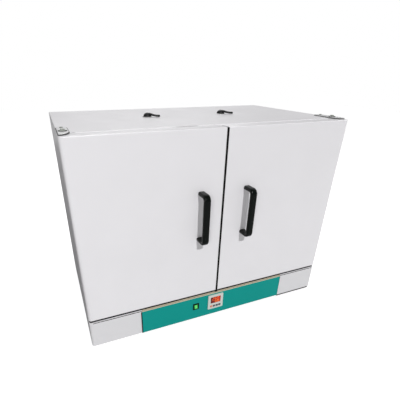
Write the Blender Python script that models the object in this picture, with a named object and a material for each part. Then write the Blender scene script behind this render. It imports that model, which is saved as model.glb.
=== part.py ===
"""Hot air drying oven with two doors, standing on a flat control base.

Metres, +Z up. The doors face -Y. The origin is on the floor, in the middle of
the whole oven's outline. Depths are measured from the door faces, heights from
the floor, and side is -1 for the left door and 1 for the right one.
"""

import math

import bmesh
import bpy
from mathutils import Vector

# Driving sizes of the whole oven
CABINET_WIDTH = 1.074
BODY_DEPTH = 0.645
FOOT_HEIGHT = 0.012
BASE_HEIGHT = 0.114
SILL_GAP = 0.012
DOOR_HEIGHT = 0.667
DOOR_TOP_DROP = 0.001

# Sheets, clearances and roundness shared by many pieces
CASING_SHEET = 0.0015
STAINLESS_SHEET = 0.0012
SEAT_GAP = 0.0003
CUT_OVERRUN = 0.002
CASING_BEND = 0.003
ROUND_STEPS = 24
HEXAGON_STEPS = 6
SMALL_ROUND_STEPS = 16
CORNER_STEPS = 4
RECTANGLE_CORNERS = 4
SMOOTH_ANGLE = math.radians(35)
RIGHT_ANGLE = math.radians(90)
HALF_TURN = math.radians(180)
FULL_TURN = math.radians(360)

# Doors
DOOR_THICKNESS = 0.055
DOOR_FRAME_GAP = 0.007
DOOR_SPLIT = 0.008
DOOR_EDGE_RADIUS = 0.014
DOOR_SPLIT_RADIUS = 0.003
DOOR_END_BEVEL = 0.0025
DOOR_BEVEL_STEPS = 2
DOOR_BEVEL_SHARE = 0.5
SEAL_MARGIN = 0.012
SEAL_WIDTH = 0.014
SEAL_CENTRE_WIDTH = 0.024
SEAL_MEETING_GAP = 0.002

# Door handles
HANDLE_REACH = 0.055
HANDLE_LENGTH = 0.197
HANDLE_WIDTH = 0.026
HANDLE_THICKNESS = 0.015
HANDLE_BEND = 0.0140
HANDLE_EDGE_RADIUS = 0.005
LEFT_HANDLE_FROM_MIDDLE = 0.0915
RIGHT_HANDLE_FROM_MIDDLE = 0.0965
HANDLE_ABOVE_DOOR_BOTTOM = 0.3565
HANDLE_BEND_STEPS = 6
HANDLE_EDGE_STEPS = 2
STUD_RADIUS = 0.003
STUD_LENGTH = 0.012
STUD_ROOT = 0.010

# Hinges
PIN_INSET = 0.015
PIN_DEPTH = 0.033
PIN_RADIUS = 0.004
PIN_ENGAGEMENT = 0.016
PIVOT_BOSS_RADIUS = 0.011
PIVOT_BOSS_DEPTH = 0.018
UPPER_PLATE_EDGE = 0.0005
UPPER_PLATE_WIDTH = 0.036
UPPER_PLATE_FRONT = 0.020
UPPER_PLATE_LENGTH = 0.133
UPPER_PLATE_THICKNESS = 0.004
UPPER_PLATE_NOSE = 0.046
UPPER_PLATE_NOSE_STEPS = 8
UPPER_PLATE_CORNER = 0.005
HINGE_FIXING_INSET = 0.018
HINGE_BOLT_DEPTH = 0.072
HINGE_BOLT_RADIUS = 0.004
HINGE_BOLT_LENGTH = 0.020
HINGE_BOLT_FLANGE_RADIUS = 0.009
HINGE_BOLT_FLANGE_HEIGHT = 0.002
HINGE_BOLT_HEAD_WIDTH = 0.013
HINGE_BOLT_HEAD_HEIGHT = 0.0055
HINGE_SCREW_DEPTH = 0.134
HINGE_SCREW_RADIUS = 0.0025
HINGE_SCREW_LENGTH = 0.014
HINGE_SCREW_HEAD_RADIUS = 0.005
HINGE_SCREW_HEAD_HEIGHT = 0.003
SCREW_SHOULDER_SHARE = 0.55
SCREW_CROWN_SHARE = 0.7
LOWER_PLATE_EDGE = 0.002
LOWER_PLATE_WIDTH = 0.027
LOWER_PLATE_FRONT = 0.017
LOWER_PLATE_LENGTH = 0.034
LOWER_PLATE_THICKNESS = 0.006
LOWER_PLATE_CORNER = 0.004
PIN_COLLAR_RADIUS = 0.008

# Heated chamber
SIDE_INSULATION = 0.110
FLOOR_INSULATION = 0.065
ROOF_INSULATION = 0.0747
REAR_INSULATION = 0.035
REAR_DEPTH = 0.091
FAN_SPACE = 0.050
LINER_FLANGE = 0.020

# Air baffle in front of the fan
BAFFLE_SIDE_GAP = 0.020
BAFFLE_END_GAP = 0.010
BAFFLE_INLET_RADIUS = 0.050
BAFFLE_SLOT_HEIGHT = 0.004
BAFFLE_SLOT_PITCH = 0.008
BAFFLE_SLOT_PAIR_COUNT = 5

# Shelf racks and shelves
POST_THICKNESS = 0.006
POST_WIDTH = 0.010
POST_END_GAP = 0.012
RUNG_FRONT = 0.040
RUNG_BACK_GAP = 0.020
RUNG_WIDTH = 0.014
RUNG_OVERLAP = 0.002
RUNG_THICKNESS = 0.004
RUNG_COUNT = 5
RUNG_END_GAP = 0.070
POST_PLACE_SHARES = (0.12, 0.88)
SHELF_SIDE_GAP = 0.0015
SHELF_FRONT = 0.030
SHELF_BACK_GAP = 0.010
SHELF_THICKNESS = 0.006
SHELF_RIM = 0.012
SHELF_BAR = 0.005
SHELF_COLUMN_COUNT = 32
SHELF_ROW_COUNT = 2
SHELF_RUNG_STEPS = {"lower": 1, "upper": 3}

# Fan, motor, heater and probe
IMPELLER_RADIUS = 0.080
IMPELLER_EYE_RADIUS = 0.048
IMPELLER_WIDTH = 0.030
IMPELLER_WALL_GAP = 0.009
IMPELLER_DISC = 0.002
BLADE_COUNT = 12
BLADE_THICKNESS = 0.0016
BLADE_OVERLAP = 0.001
HUB_RADIUS = 0.012
HUB_LENGTH = 0.016
SHAFT_RADIUS = 0.005
SHAFT_TIP = 0.004
SHAFT_HOLE_RADIUS = 0.009
SHAFT_BORE_DEPTH = 0.020
MOTOR_RADIUS = 0.042
MOTOR_LENGTH = 0.045
MOTOR_FLANGE_RADIUS = 0.052
MOTOR_FLANGE_THICKNESS = 0.003
MOTOR_EDGE = 0.004
HEATER_RING_RADIUS = 0.110
HEATER_TUBE_RADIUS = 0.004
HEATER_LEG_SPREAD = 0.020
HEATER_BEND = 0.012
HEATER_TAIL = 0.006
HEATER_RING_STEPS = 20
PROBE_FROM_MIDDLE = 0.200
PROBE_BELOW_CEILING = 0.005
PROBE_RADIUS = 0.003
PROBE_REACH = 0.075
PROBE_HEAD_RADIUS = 0.007
PROBE_HEAD_LENGTH = 0.012

# Air vents in the top
VENT_PLACES = {"left": -0.178, "right": 0.152}
VENT_DEPTH = 0.335
VENT_BORE_RADIUS = 0.012
VENT_WALL = 0.0015
VENT_BELOW_CEILING = 0.002
VENT_RIM_RADIUS = 0.020
VENT_RIM_THICKNESS = 0.002
VENT_SLEEVE_HEIGHT = 0.0125
VENT_WINDOW_WIDTH = 0.010
VENT_WINDOW_LIP = 0.0015
DAMPER_WALL = 0.0027
DAMPER_CROWN = 0.0035
DAMPER_DOME_STEPS = 4
LEVER_REST_ANGLE = math.radians(-45)
LEVER_REACH = 0.050
LEVER_WIDTH = 0.007
LEVER_THICKNESS = 0.004
LEVER_UNDERCUT = 0.0006
LEVER_KNOB_RADIUS = 0.0055
LEVER_KNOB_HEIGHT = 0.0075
LEVER_KNOB_EDGE = 0.002

# Control base and its panel
PANEL_THICKNESS = 0.002
PANEL_WIDTH = 0.670
PANEL_HEIGHT = 0.108
PANEL_MIDDLE = 0.003
SILL_TRIM_SHEET = 0.0010
SILL_TRIM_DEPTH = 0.014
SILL_TRIM_END_GAP = 0.0145
BASE_FLANGE = 0.060
BASE_CORNER = 0.010
FLOOR_OVERLAP = 0.012
WIRE_HOLE_RADIUS = 0.015
WIRE_HOLE_FROM_SIDE = 0.230
WIRE_HOLE_FROM_BACK = 0.030
FOOT_RADIUS = 0.020
FOOT_TREAD_RADIUS = 0.018
FOOT_INSET = 0.034
FOOT_GROOVE = 0.002

# Temperature controller
CONTROLLER_SIZE = 0.072
CONTROLLER_BODY = 0.067
CONTROLLER_BEZEL = 0.0045
CONTROLLER_DEPTH = 0.070
CONTROLLER_HEIGHT = 0.068
CONTROLLER_FROM_MIDDLE = -0.003
CONTROLLER_CORNER = 0.003
CONTROLLER_EDGE_OVERLAP = 0.002
WINDOW_WIDTH = 0.048
WINDOW_HEIGHT = 0.032
WINDOW_ABOVE_MIDDLE = 0.0095
WINDOW_THICKNESS = 0.002
KEY_COUNT = 4
KEY_WIDTH = 0.010
KEY_HEIGHT = 0.009
KEY_PITCH = 0.0135
KEY_BELOW_MIDDLE = 0.022
KEY_POCKET = 0.0045
KEY_PROUD = 0.0012
KEY_TRAVEL = 0.0010

# Power switch
SWITCH_FROM_MIDDLE = -0.0955
SWITCH_HEIGHT = 0.064
SWITCH_BEZEL_WIDTH = 0.028
SWITCH_BEZEL_HEIGHT = 0.032
SWITCH_BEZEL_THICKNESS = 0.002
SWITCH_BODY_WIDTH = 0.024
SWITCH_BODY_HEIGHT = 0.028
SWITCH_BODY_DEPTH = 0.025
SWITCH_CORNER = 0.002
ROCKER_WIDTH = 0.0190
ROCKER_RADIUS = 0.0115
ROCKER_POCKET_GAP = 0.0005
ROCKER_PIVOT_DEPTH = 0.004
ROCKER_PROUD = 0.0013
ROCKER_DISH = 0.0018
ROCKER_FACE_SHARE = 0.87
ROCKER_TILT = math.radians(8)
ROCKER_BACK_ANGLE = math.radians(75)
ROCKER_BACK_STEPS = 8

# Rear panel, mains inlet and relay
LOUVRE_WIDTH = 0.120
LOUVRE_HEIGHT = 0.004
LOUVRE_PITCH = 0.014
LOUVRE_ROW_COUNT = 9
LOUVRE_FROM_MIDDLE = 0.150
INLET_FROM_SIDE = 0.150
INLET_HEIGHT = 0.057
INLET_FLANGE_WIDTH = 0.050
INLET_FLANGE_HEIGHT = 0.030
INLET_FLANGE_THICKNESS = 0.002
INLET_BODY_WIDTH = 0.032
INLET_BODY_HEIGHT = 0.024
INLET_BODY_DEPTH = 0.026
INLET_WALL = 0.0025
INLET_SOCKET_DEPTH = 0.017
INLET_PIN_WIDTH = 0.002
INLET_PIN_HEIGHT = 0.006
INLET_PIN_LENGTH = 0.013
INLET_PIN_SHARES = (-0.62, 0.0, 0.62)
INLET_PIN_DROP = 0.003
RELAY_FROM_SIDE = 0.310
RELAY_FROM_FRONT = 0.200
RELAY_WIDTH = 0.080
RELAY_LENGTH = 0.090
RELAY_SOLE = 0.005
RELAY_FIN_HEIGHT = 0.022
RELAY_FIN_THICKNESS = 0.002
RELAY_FIN_COUNT = 7
RELAY_BLOCK_WIDTH = 0.044
RELAY_BLOCK_LENGTH = 0.058
RELAY_BLOCK_HEIGHT = 0.022

# Places that follow from the sizes
HALF_WIDTH = CABINET_WIDTH / 2
BASE_BOTTOM = FOOT_HEIGHT
BASE_TOP = BASE_BOTTOM + BASE_HEIGHT
CABINET_BOTTOM = BASE_TOP + SEAT_GAP
DOOR_BOTTOM = BASE_TOP + SILL_GAP
DOOR_TOP = DOOR_BOTTOM + DOOR_HEIGHT
CABINET_TOP = DOOR_TOP + DOOR_TOP_DROP
REAR_REACH = SEAT_GAP + INLET_FLANGE_THICKNESS
DOOR_FACE_Y = (HANDLE_REACH - BODY_DEPTH - REAR_REACH) / 2
DOOR_BACK_Y = DOOR_FACE_Y + DOOR_THICKNESS
CABINET_FRONT_Y = DOOR_BACK_Y + DOOR_FRAME_GAP
CABINET_BACK_Y = DOOR_FACE_Y + BODY_DEPTH
BASE_FRONT_Y = DOOR_FACE_Y + PANEL_THICKNESS + SEAT_GAP
PIN_Y = DOOR_FACE_Y + PIN_DEPTH
CHAMBER_FLOOR = CABINET_BOTTOM + FLOOR_INSULATION
CHAMBER_CEILING = CABINET_TOP - ROOF_INSULATION
CHAMBER_SIDE = HALF_WIDTH - SIDE_INSULATION
CHAMBER_FRONT_Y = CABINET_FRONT_Y + CASING_SHEET + SEAT_GAP
CHAMBER_BACK_Y = CABINET_BACK_Y - REAR_DEPTH
BAFFLE_Y = CHAMBER_BACK_Y - FAN_SPACE
RUNG_FRONT_Y = CHAMBER_FRONT_Y + RUNG_FRONT
RUNG_LENGTH = BAFFLE_Y - RUNG_BACK_GAP - RUNG_FRONT_Y
SHELF_FRONT_Y = CHAMBER_FRONT_Y + SHELF_FRONT
SHELF_DEPTH = BAFFLE_Y - SHELF_BACK_GAP - SHELF_FRONT_Y
LINER_BACK_Y = CHAMBER_BACK_Y + STAINLESS_SHEET
INSULATION_BACK_Y = LINER_BACK_Y + SEAT_GAP + REAR_INSULATION
BACK_PANEL_Y = CABINET_BACK_Y - CASING_SHEET
FAN_Z = (CHAMBER_FLOOR + CHAMBER_CEILING) / 2
VENT_Y = DOOR_FACE_Y + VENT_DEPTH
UPPER_PLATE_BOTTOM = CABINET_TOP + SEAT_GAP
UPPER_PLATE_TOP = UPPER_PLATE_BOTTOM + UPPER_PLATE_THICKNESS
HANDLE_Z = DOOR_BOTTOM + HANDLE_ABOVE_DOOR_BOTTOM
HANDLE_ARM = (HANDLE_LENGTH - HANDLE_THICKNESS) / 2
SIDE_NAMES = {-1: "left", 1: "right"}


def clear_scene():
    for thing in list(bpy.data.objects):
        bpy.data.objects.remove(thing)


def surface(name, colour, roughness, metallic=0.0, glow=0.0):
    """A plain material: colour, roughness and how metallic it is."""
    material = bpy.data.materials.new(name)
    material.use_nodes = True
    shader = material.node_tree.nodes["Principled BSDF"]
    shader.inputs["Base Color"].default_value = (*colour, 1.0)
    shader.inputs["Roughness"].default_value = roughness
    shader.inputs["Metallic"].default_value = metallic
    shader.inputs["Emission Color"].default_value = (*colour, 1.0)
    shader.inputs["Emission Strength"].default_value = glow
    return material


def rectangle(low, high):
    """Corners of a rectangle, anticlockwise from the low one."""
    return [low, (high[0], low[1]), high, (low[0], high[1])]


def arc(centre, radius, start, end, steps):
    """Points on a circle from one angle to another, both ends included."""
    angles = [start + (end - start) * step / steps for step in range(steps + 1)]
    return [(centre[0] + radius * math.cos(a), centre[1] + radius * math.sin(a)) for a in angles]


def circle(centre, radius, steps=ROUND_STEPS):
    return arc(centre, radius, 0, FULL_TURN, steps)[:-1]


def rounded(low, high, radii, steps=CORNER_STEPS):
    """A rectangle with its own radius at each corner, anticlockwise from the low one."""
    turns = [(1, 1), (-1, 1), (-1, -1), (1, -1)]
    outline = []
    for number, (corner, radius, turn) in enumerate(zip(rectangle(low, high), radii, turns)):
        if not radius:
            outline.append(corner)
            continue
        centre = (corner[0] + turn[0] * radius, corner[1] + turn[1] * radius)
        start = HALF_TURN + number * RIGHT_ANGLE
        outline += arc(centre, radius, start, start + RIGHT_ANGLE, steps)
    return outline


def closed_mesh(rings, loop=False):
    """Join rings of points into one closed surface. A ring of one point is a tip."""
    mesh = bmesh.new()
    rows = [[mesh.verts.new(point) for point in ring] for ring in rings]
    pairs = list(zip(rows, rows[1:]))
    if loop:
        pairs.append((rows[-1], rows[0]))
    else:
        for end in (rows[0], rows[-1]):
            if len(end) > 1:
                mesh.faces.new(end)
    count = max(len(row) for row in rows)
    for near, far in pairs:
        for index in range(count):
            after = (index + 1) % count
            corners = [near[index % len(near)], near[after % len(near)]]
            corners += [far[after % len(far)], far[index % len(far)]]
            corners = list(dict.fromkeys(corners))
            mesh.faces.new(corners)
    bmesh.ops.recalc_face_normals(mesh, faces=mesh.faces)
    return mesh


def in_space(across, up, along, axis):
    """A point from its place in an outline and its place along the axis."""
    if axis == "X":
        return (along, across, up)
    if axis == "Y":
        return (across, along, up)
    return (across, up, along)


def lifted(outline, place, axis):
    """An outline's points in space, at one place along the axis."""
    return [in_space(across, up, place, axis) for across, up in outline]


def prism(outline, start, end, axis="Z"):
    """An outline run straight along an axis."""
    return closed_mesh([lifted(outline, start, axis), lifted(outline, end, axis)])


def box(low, high):
    return prism(rectangle(low[:2], high[:2]), low[2], high[2])


def rod(centre, radius, start, end, axis="Z", steps=ROUND_STEPS):
    return prism(circle(centre, radius, steps), start, end, axis)


def framed(outer, inner, start, end, axis):
    """A flat frame: an outline with a like outline cut out of it."""
    rings = [lifted(outer, start, axis), lifted(outer, end, axis)]
    rings += [lifted(inner, end, axis), lifted(inner, start, axis)]
    return closed_mesh(rings, loop=True)


def turned(profile, centre, axis="Z", steps=ROUND_STEPS, loop=False):
    """A profile of (radius, place along the axis) pairs turned round the axis."""
    rings = []
    for radius, place in profile:
        outline = circle(centre, radius, steps) if radius else [centre]
        rings.append(lifted(outline, place, axis))
    return closed_mesh(rings, loop)


def together(*meshes):
    """Several shapes that stay clear of each other, as one mesh."""
    whole = bmesh.new()
    for mesh in meshes:
        data = bpy.data.meshes.new("shape")
        mesh.to_mesh(data)
        mesh.free()
        whole.from_mesh(data)
        bpy.data.meshes.remove(data)
    return whole


def axis_empty(name, place):
    """An empty on a joint's axis, which carries the pieces that move there."""
    empty = bpy.data.objects.new(name, None)
    empty.location = place
    bpy.context.scene.collection.objects.link(empty)
    return empty


def piece(name, mesh, material, holder=None):
    """One sub-part, its origin on its holder's axis or in the middle of its own box."""
    if holder:
        anchor = holder.location.copy()
    else:
        places = [vertex.co for vertex in mesh.verts]
        lows = [min(place[i] for place in places) for i in range(3)]
        highs = [max(place[i] for place in places) for i in range(3)]
        anchor = (Vector(lows) + Vector(highs)) / 2
    bmesh.ops.translate(mesh, verts=mesh.verts, vec=-anchor)
    data = bpy.data.meshes.new(name)
    mesh.to_mesh(data)
    mesh.free()
    data.materials.append(material)
    data.shade_smooth()
    data.set_sharp_from_angle(angle=SMOOTH_ANGLE)
    thing = bpy.data.objects.new(name, data)
    bpy.context.scene.collection.objects.link(thing)
    if holder:
        thing.parent = holder
    else:
        thing.location = anchor
    return thing


def combine(thing, operation, mesh):
    """Cut a shape out of a sub-part, or weld one on. The shape's own object stays hidden."""
    number = len(thing.modifiers) + 1
    data = bpy.data.meshes.new(f"{thing.name}_shape_{number}")
    mesh.to_mesh(data)
    mesh.free()
    helper = bpy.data.objects.new(data.name, data)
    helper.hide_render = True
    helper.display_type = "WIRE"
    bpy.context.scene.collection.objects.link(helper)
    change = thing.modifiers.new(f"shape_{number}", "BOOLEAN")
    change.operation = operation
    change.object = helper


def cut(thing, *meshes):
    combine(thing, "DIFFERENCE", together(*meshes))


def weld(thing, *meshes):
    combine(thing, "UNION", together(*meshes))


def ordered(side, inner, outer):
    """Low and high X of a stretch that lies on one side of the middle."""
    return tuple(sorted((side * inner, side * outer)))


def hinge_axis(side):
    return (side * (HALF_WIDTH - PIN_INSET), PIN_Y)


def hinge_fixings(side):
    """Place, shank radius and shank length of the bolt and the screw in an upper hinge."""
    x = side * (HALF_WIDTH - HINGE_FIXING_INSET)
    return [
        ((x, DOOR_FACE_Y + HINGE_BOLT_DEPTH), HINGE_BOLT_RADIUS, HINGE_BOLT_LENGTH),
        ((x, DOOR_FACE_Y + HINGE_SCREW_DEPTH), HINGE_SCREW_RADIUS, HINGE_SCREW_LENGTH),
    ]


def fixing_holes(sides, top, bottom=None):
    """Holes for the hinge bolts and screws, down to a height or to just past their tips."""
    holes = []
    for side in sides:
        for place, radius, length in hinge_fixings(side):
            end = UPPER_PLATE_TOP - length - SEAT_GAP if bottom is None else bottom
            holes.append(rod(place, radius + SEAT_GAP, end, top, steps=SMALL_ROUND_STEPS))
    return holes


def vent_holes(bottom, top):
    """Holes for both vent pipes between two heights."""
    radius = VENT_BORE_RADIUS + VENT_WALL + SEAT_GAP
    return [rod((x, VENT_Y), radius, bottom, top) for x in VENT_PLACES.values()]


def casing_outline(margin):
    """The inside of the outer shell seen from the front, drawn in by a margin."""
    side = HALF_WIDTH - CASING_SHEET - margin
    radius = CASING_BEND - CASING_SHEET - margin
    top = CABINET_TOP - CASING_SHEET - margin
    return rounded((-side, CABINET_BOTTOM), (side, top), (0, 0, radius, radius))


def make_outer_shell(paint):
    """One sheet folded over both sides and the top."""
    outer_low, outer_high = (-HALF_WIDTH, CABINET_BOTTOM), (HALF_WIDTH, CABINET_TOP)
    outer = rounded(outer_low, outer_high, (0, 0, CASING_BEND, CASING_BEND))
    inner = casing_outline(0.0)
    # Up the right side, over the top and down the left one, then back along the inside
    outline = outer[1:] + outer[:1] + inner[:1] + inner[:0:-1]
    shell = piece("outer_shell", prism(outline, CABINET_FRONT_Y, CABINET_BACK_Y, "Y"), paint)
    bottom, top = CABINET_TOP - CASING_SHEET - CUT_OVERRUN, CABINET_TOP + CUT_OVERRUN
    cut(shell, *vent_holes(bottom, top), *fixing_holes(SIDE_NAMES, top, bottom))


def make_back_panel(paint):
    """Rear cover with rows of cooling slots on both sides of the fan motor."""
    panel = piece("back_panel", prism(casing_outline(SEAT_GAP), BACK_PANEL_Y, CABINET_BACK_Y, "Y"), paint)
    slots = []
    for middle in (-LOUVRE_FROM_MIDDLE, LOUVRE_FROM_MIDDLE):
        for row in range(LOUVRE_ROW_COUNT):
            z = FAN_Z + (row - (LOUVRE_ROW_COUNT - 1) / 2) * LOUVRE_PITCH
            low = (middle - LOUVRE_WIDTH / 2, BACK_PANEL_Y - CUT_OVERRUN, z - LOUVRE_HEIGHT / 2)
            high = (middle + LOUVRE_WIDTH / 2, CABINET_BACK_Y + CUT_OVERRUN, z + LOUVRE_HEIGHT / 2)
            slots.append(box(low, high))
    cut(panel, *slots)


def make_front_frame(steel):
    """Face frame round the chamber's mouth, on which the door seals close."""
    back = CABINET_FRONT_Y + CASING_SHEET
    frame = piece("front_frame", prism(casing_outline(SEAT_GAP), CABINET_FRONT_Y, back, "Y"), steel)
    low = (-CHAMBER_SIDE, CABINET_FRONT_Y - CUT_OVERRUN, CHAMBER_FLOOR)
    high = (CHAMBER_SIDE, back + CUT_OVERRUN, CHAMBER_CEILING)
    cut(frame, box(low, high))


def heater_leg_places():
    """Where the heater's two legs pass the rear wall."""
    drop = math.sqrt(HEATER_RING_RADIUS**2 - HEATER_LEG_SPREAD**2)
    return [(side * HEATER_LEG_SPREAD, FAN_Z - drop) for side in SIDE_NAMES]


def probe_place():
    return (PROBE_FROM_MIDDLE, CHAMBER_CEILING - PROBE_BELOW_CEILING)


def make_chamber_liner(steel):
    """Stainless box with an open front and a flange round its mouth."""
    sheet = STAINLESS_SHEET
    flange_back = CHAMBER_FRONT_Y + sheet
    low = (-CHAMBER_SIDE - sheet, CHAMBER_FRONT_Y + sheet / 2, CHAMBER_FLOOR - sheet)
    high = (CHAMBER_SIDE + sheet, LINER_BACK_Y, CHAMBER_CEILING + sheet)
    liner = piece("chamber_liner", box(low, high), steel)
    flange_low = (-CHAMBER_SIDE - LINER_FLANGE, CHAMBER_FRONT_Y, CHAMBER_FLOOR - LINER_FLANGE)
    flange_high = (CHAMBER_SIDE + LINER_FLANGE, flange_back, CHAMBER_CEILING + LINER_FLANGE)
    weld(liner, box(flange_low, flange_high))
    mouth_low = (-CHAMBER_SIDE, CHAMBER_FRONT_Y - CUT_OVERRUN, CHAMBER_FLOOR)
    cut(liner, box(mouth_low, (CHAMBER_SIDE, CHAMBER_BACK_Y, CHAMBER_CEILING)))
    start, end = CHAMBER_BACK_Y - CUT_OVERRUN, LINER_BACK_Y + CUT_OVERRUN
    legs = [
        rod(place, HEATER_TUBE_RADIUS + SEAT_GAP, start, end, "Y", SMALL_ROUND_STEPS)
        for place in heater_leg_places()
    ]
    probe = rod(probe_place(), PROBE_RADIUS + SEAT_GAP, start, end, "Y", SMALL_ROUND_STEPS)
    shaft = rod((0, FAN_Z), SHAFT_HOLE_RADIUS, start, end, "Y")
    vents = vent_holes(CHAMBER_CEILING - CUT_OVERRUN, CHAMBER_CEILING + sheet + CUT_OVERRUN)
    cut(liner, shaft, probe, *legs, *vents)


def make_cabinet_insulation(wool):
    """Mineral wool on five sides of the chamber."""
    front = CHAMBER_FRONT_Y + STAINLESS_SHEET + SEAT_GAP
    blanket = prism(casing_outline(SEAT_GAP), front, INSULATION_BACK_Y, "Y")
    wrap = piece("cabinet_insulation", blanket, wool)
    room = STAINLESS_SHEET + SEAT_GAP
    low = (-CHAMBER_SIDE - room, front - CUT_OVERRUN, CHAMBER_FLOOR - room)
    cut(wrap, box(low, (CHAMBER_SIDE + room, LINER_BACK_Y + SEAT_GAP, CHAMBER_CEILING + room)))
    start, end = LINER_BACK_Y - CUT_OVERRUN, INSULATION_BACK_Y + CUT_OVERRUN
    holes = [rod((0, FAN_Z), SHAFT_HOLE_RADIUS, start, end, "Y")]
    for place in heater_leg_places():
        holes.append(rod(place, HEATER_TUBE_RADIUS + SEAT_GAP, start, end, "Y", SMALL_ROUND_STEPS))
    head_end = LINER_BACK_Y + SEAT_GAP + PROBE_HEAD_LENGTH + SEAT_GAP
    holes.append(rod(probe_place(), PROBE_HEAD_RADIUS + SEAT_GAP, start, head_end, "Y"))
    top = CABINET_TOP + CUT_OVERRUN
    holes += vent_holes(CHAMBER_CEILING - CUT_OVERRUN, top)
    holes += fixing_holes(SIDE_NAMES, top)
    cut(wrap, *holes)


def panel_openings(front, back):
    """Holes for the controller and the switch, through the front of the base."""
    places = [
        (CONTROLLER_FROM_MIDDLE, CONTROLLER_HEIGHT, CONTROLLER_BODY, CONTROLLER_BODY),
        (SWITCH_FROM_MIDDLE, SWITCH_HEIGHT, SWITCH_BODY_WIDTH, SWITCH_BODY_HEIGHT),
    ]
    holes = []
    for x, above, width, height in places:
        half_width, half_height = width / 2 + SEAT_GAP, height / 2 + SEAT_GAP
        z = BASE_BOTTOM + above
        low = (x - half_width, front - CUT_OVERRUN, z - half_height)
        holes.append(box(low, (x + half_width, back + CUT_OVERRUN, z + half_height)))
    return holes


def make_base_housing(paint):
    """Folded base under the cabinet, with round front corners and a wide flange turned in at the bottom."""
    low, high = (-HALF_WIDTH, BASE_FRONT_Y), (HALF_WIDTH, CABINET_BACK_Y)
    radii = (BASE_CORNER, BASE_CORNER, CASING_BEND, CASING_BEND)
    base = piece("base_housing", prism(rounded(low, high, radii), BASE_BOTTOM, BASE_TOP), paint)
    sheet = CASING_SHEET
    inner_low, inner_high = (low[0] + sheet, low[1] + sheet), (high[0] - sheet, high[1] - sheet)
    inner = rounded(inner_low, inner_high, [radius - sheet for radius in radii])
    cut(base, prism(inner, BASE_BOTTOM + sheet, BASE_TOP - sheet))
    hole_low = (-HALF_WIDTH + BASE_FLANGE, BASE_FRONT_Y + BASE_FLANGE, BASE_BOTTOM - CUT_OVERRUN)
    hole_high = (HALF_WIDTH - BASE_FLANGE, CABINET_BACK_Y - BASE_FLANGE, BASE_BOTTOM + sheet + CUT_OVERRUN)
    inlet_x, inlet_z = HALF_WIDTH - INLET_FROM_SIDE, BASE_BOTTOM + INLET_HEIGHT
    half_width, half_height = INLET_BODY_WIDTH / 2 + SEAT_GAP, INLET_BODY_HEIGHT / 2 + SEAT_GAP
    inlet_low = (inlet_x - half_width, CABINET_BACK_Y - sheet - CUT_OVERRUN, inlet_z - half_height)
    inlet_high = (inlet_x + half_width, CABINET_BACK_Y + CUT_OVERRUN, inlet_z + half_height)
    wires = (WIRE_HOLE_FROM_SIDE - HALF_WIDTH, CABINET_BACK_Y - WIRE_HOLE_FROM_BACK)
    wire_hole = rod(wires, WIRE_HOLE_RADIUS, BASE_TOP - sheet - CUT_OVERRUN, BASE_TOP + CUT_OVERRUN)
    front_holes = panel_openings(BASE_FRONT_Y, BASE_FRONT_Y + sheet)
    cut(base, box(hole_low, hole_high), box(inlet_low, inlet_high), wire_hole, *front_holes)


def make_base_floor(paint):
    """Plate that closes the base, lying inside on its turned-in flange."""
    side = HALF_WIDTH - BASE_FLANGE + FLOOR_OVERLAP
    front = BASE_FRONT_Y + BASE_FLANGE - FLOOR_OVERLAP
    back = CABINET_BACK_Y - BASE_FLANGE + FLOOR_OVERLAP
    bottom = base_floor_top() - CASING_SHEET
    piece("base_floor", box((-side, front, bottom), (side, back, base_floor_top())), paint)


def base_floor_top():
    return BASE_BOTTOM + CASING_SHEET + SEAT_GAP + CASING_SHEET


def make_control_panel(paint):
    """Coloured plate on the front of the base."""
    low = (PANEL_MIDDLE - PANEL_WIDTH / 2, BASE_BOTTOM)
    high = (PANEL_MIDDLE + PANEL_WIDTH / 2, BASE_BOTTOM + PANEL_HEIGHT)
    back = DOOR_FACE_Y + PANEL_THICKNESS
    panel = piece("control_panel", prism(rectangle(low, high), DOOR_FACE_Y, back, "Y"), paint)
    cut(panel, *panel_openings(DOOR_FACE_Y, back))


def make_sill_trim(steel):
    """Bright angle over the whole of the base's front edge, above the control panel."""
    front = BASE_FRONT_Y - SEAT_GAP - SILL_TRIM_SHEET
    inside, back = front + SILL_TRIM_SHEET, front + SILL_TRIM_DEPTH
    bottom = BASE_BOTTOM + PANEL_HEIGHT + SEAT_GAP
    underside = BASE_TOP + SEAT_GAP
    top = underside + SILL_TRIM_SHEET
    outline = [(front, bottom), (inside, bottom), (inside, underside), (back, underside)]
    outline += [(back, top), (front, top)]
    reach = HALF_WIDTH - SILL_TRIM_END_GAP
    piece("sill_trim", prism(outline, -reach, reach, "X"), steel)


def make_feet(rubber):
    """Four round rubber feet under the base's flange."""
    top = BASE_BOTTOM - SEAT_GAP
    profile = [(0, 0), (FOOT_TREAD_RADIUS, 0), (FOOT_RADIUS, FOOT_GROOVE), (FOOT_RADIUS, top), (0, top)]
    rows = {"front": BASE_FRONT_Y + FOOT_INSET, "rear": CABINET_BACK_Y - FOOT_INSET}
    for row, y in rows.items():
        for side, side_name in SIDE_NAMES.items():
            foot = turned(profile, (side * (HALF_WIDTH - FOOT_INSET), y))
            piece(f"{row}_{side_name}_foot", foot, rubber)


def door_outline(side, margin, back):
    """A door seen from above, drawn in by a margin at its front and ends."""
    low_x, high_x = ordered(side, DOOR_SPLIT / 2 + margin, HALF_WIDTH - margin)
    split_radius, edge_radius = DOOR_SPLIT_RADIUS - margin, DOOR_EDGE_RADIUS - margin
    radii = (edge_radius, split_radius, 0, 0) if side < 0 else (split_radius, edge_radius, 0, 0)
    return rounded((low_x, DOOR_FACE_Y + margin), (high_x, back), radii)


def pivot_rods(side, radius, depth, overrun):
    """Rods on the hinge axis, down from the door's top and up from its bottom."""
    place = hinge_axis(side)
    upper = rod(place, radius, DOOR_TOP - depth, DOOR_TOP + overrun)
    lower = rod(place, radius, DOOR_BOTTOM - overrun, DOOR_BOTTOM + depth)
    return [upper, lower]


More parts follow.
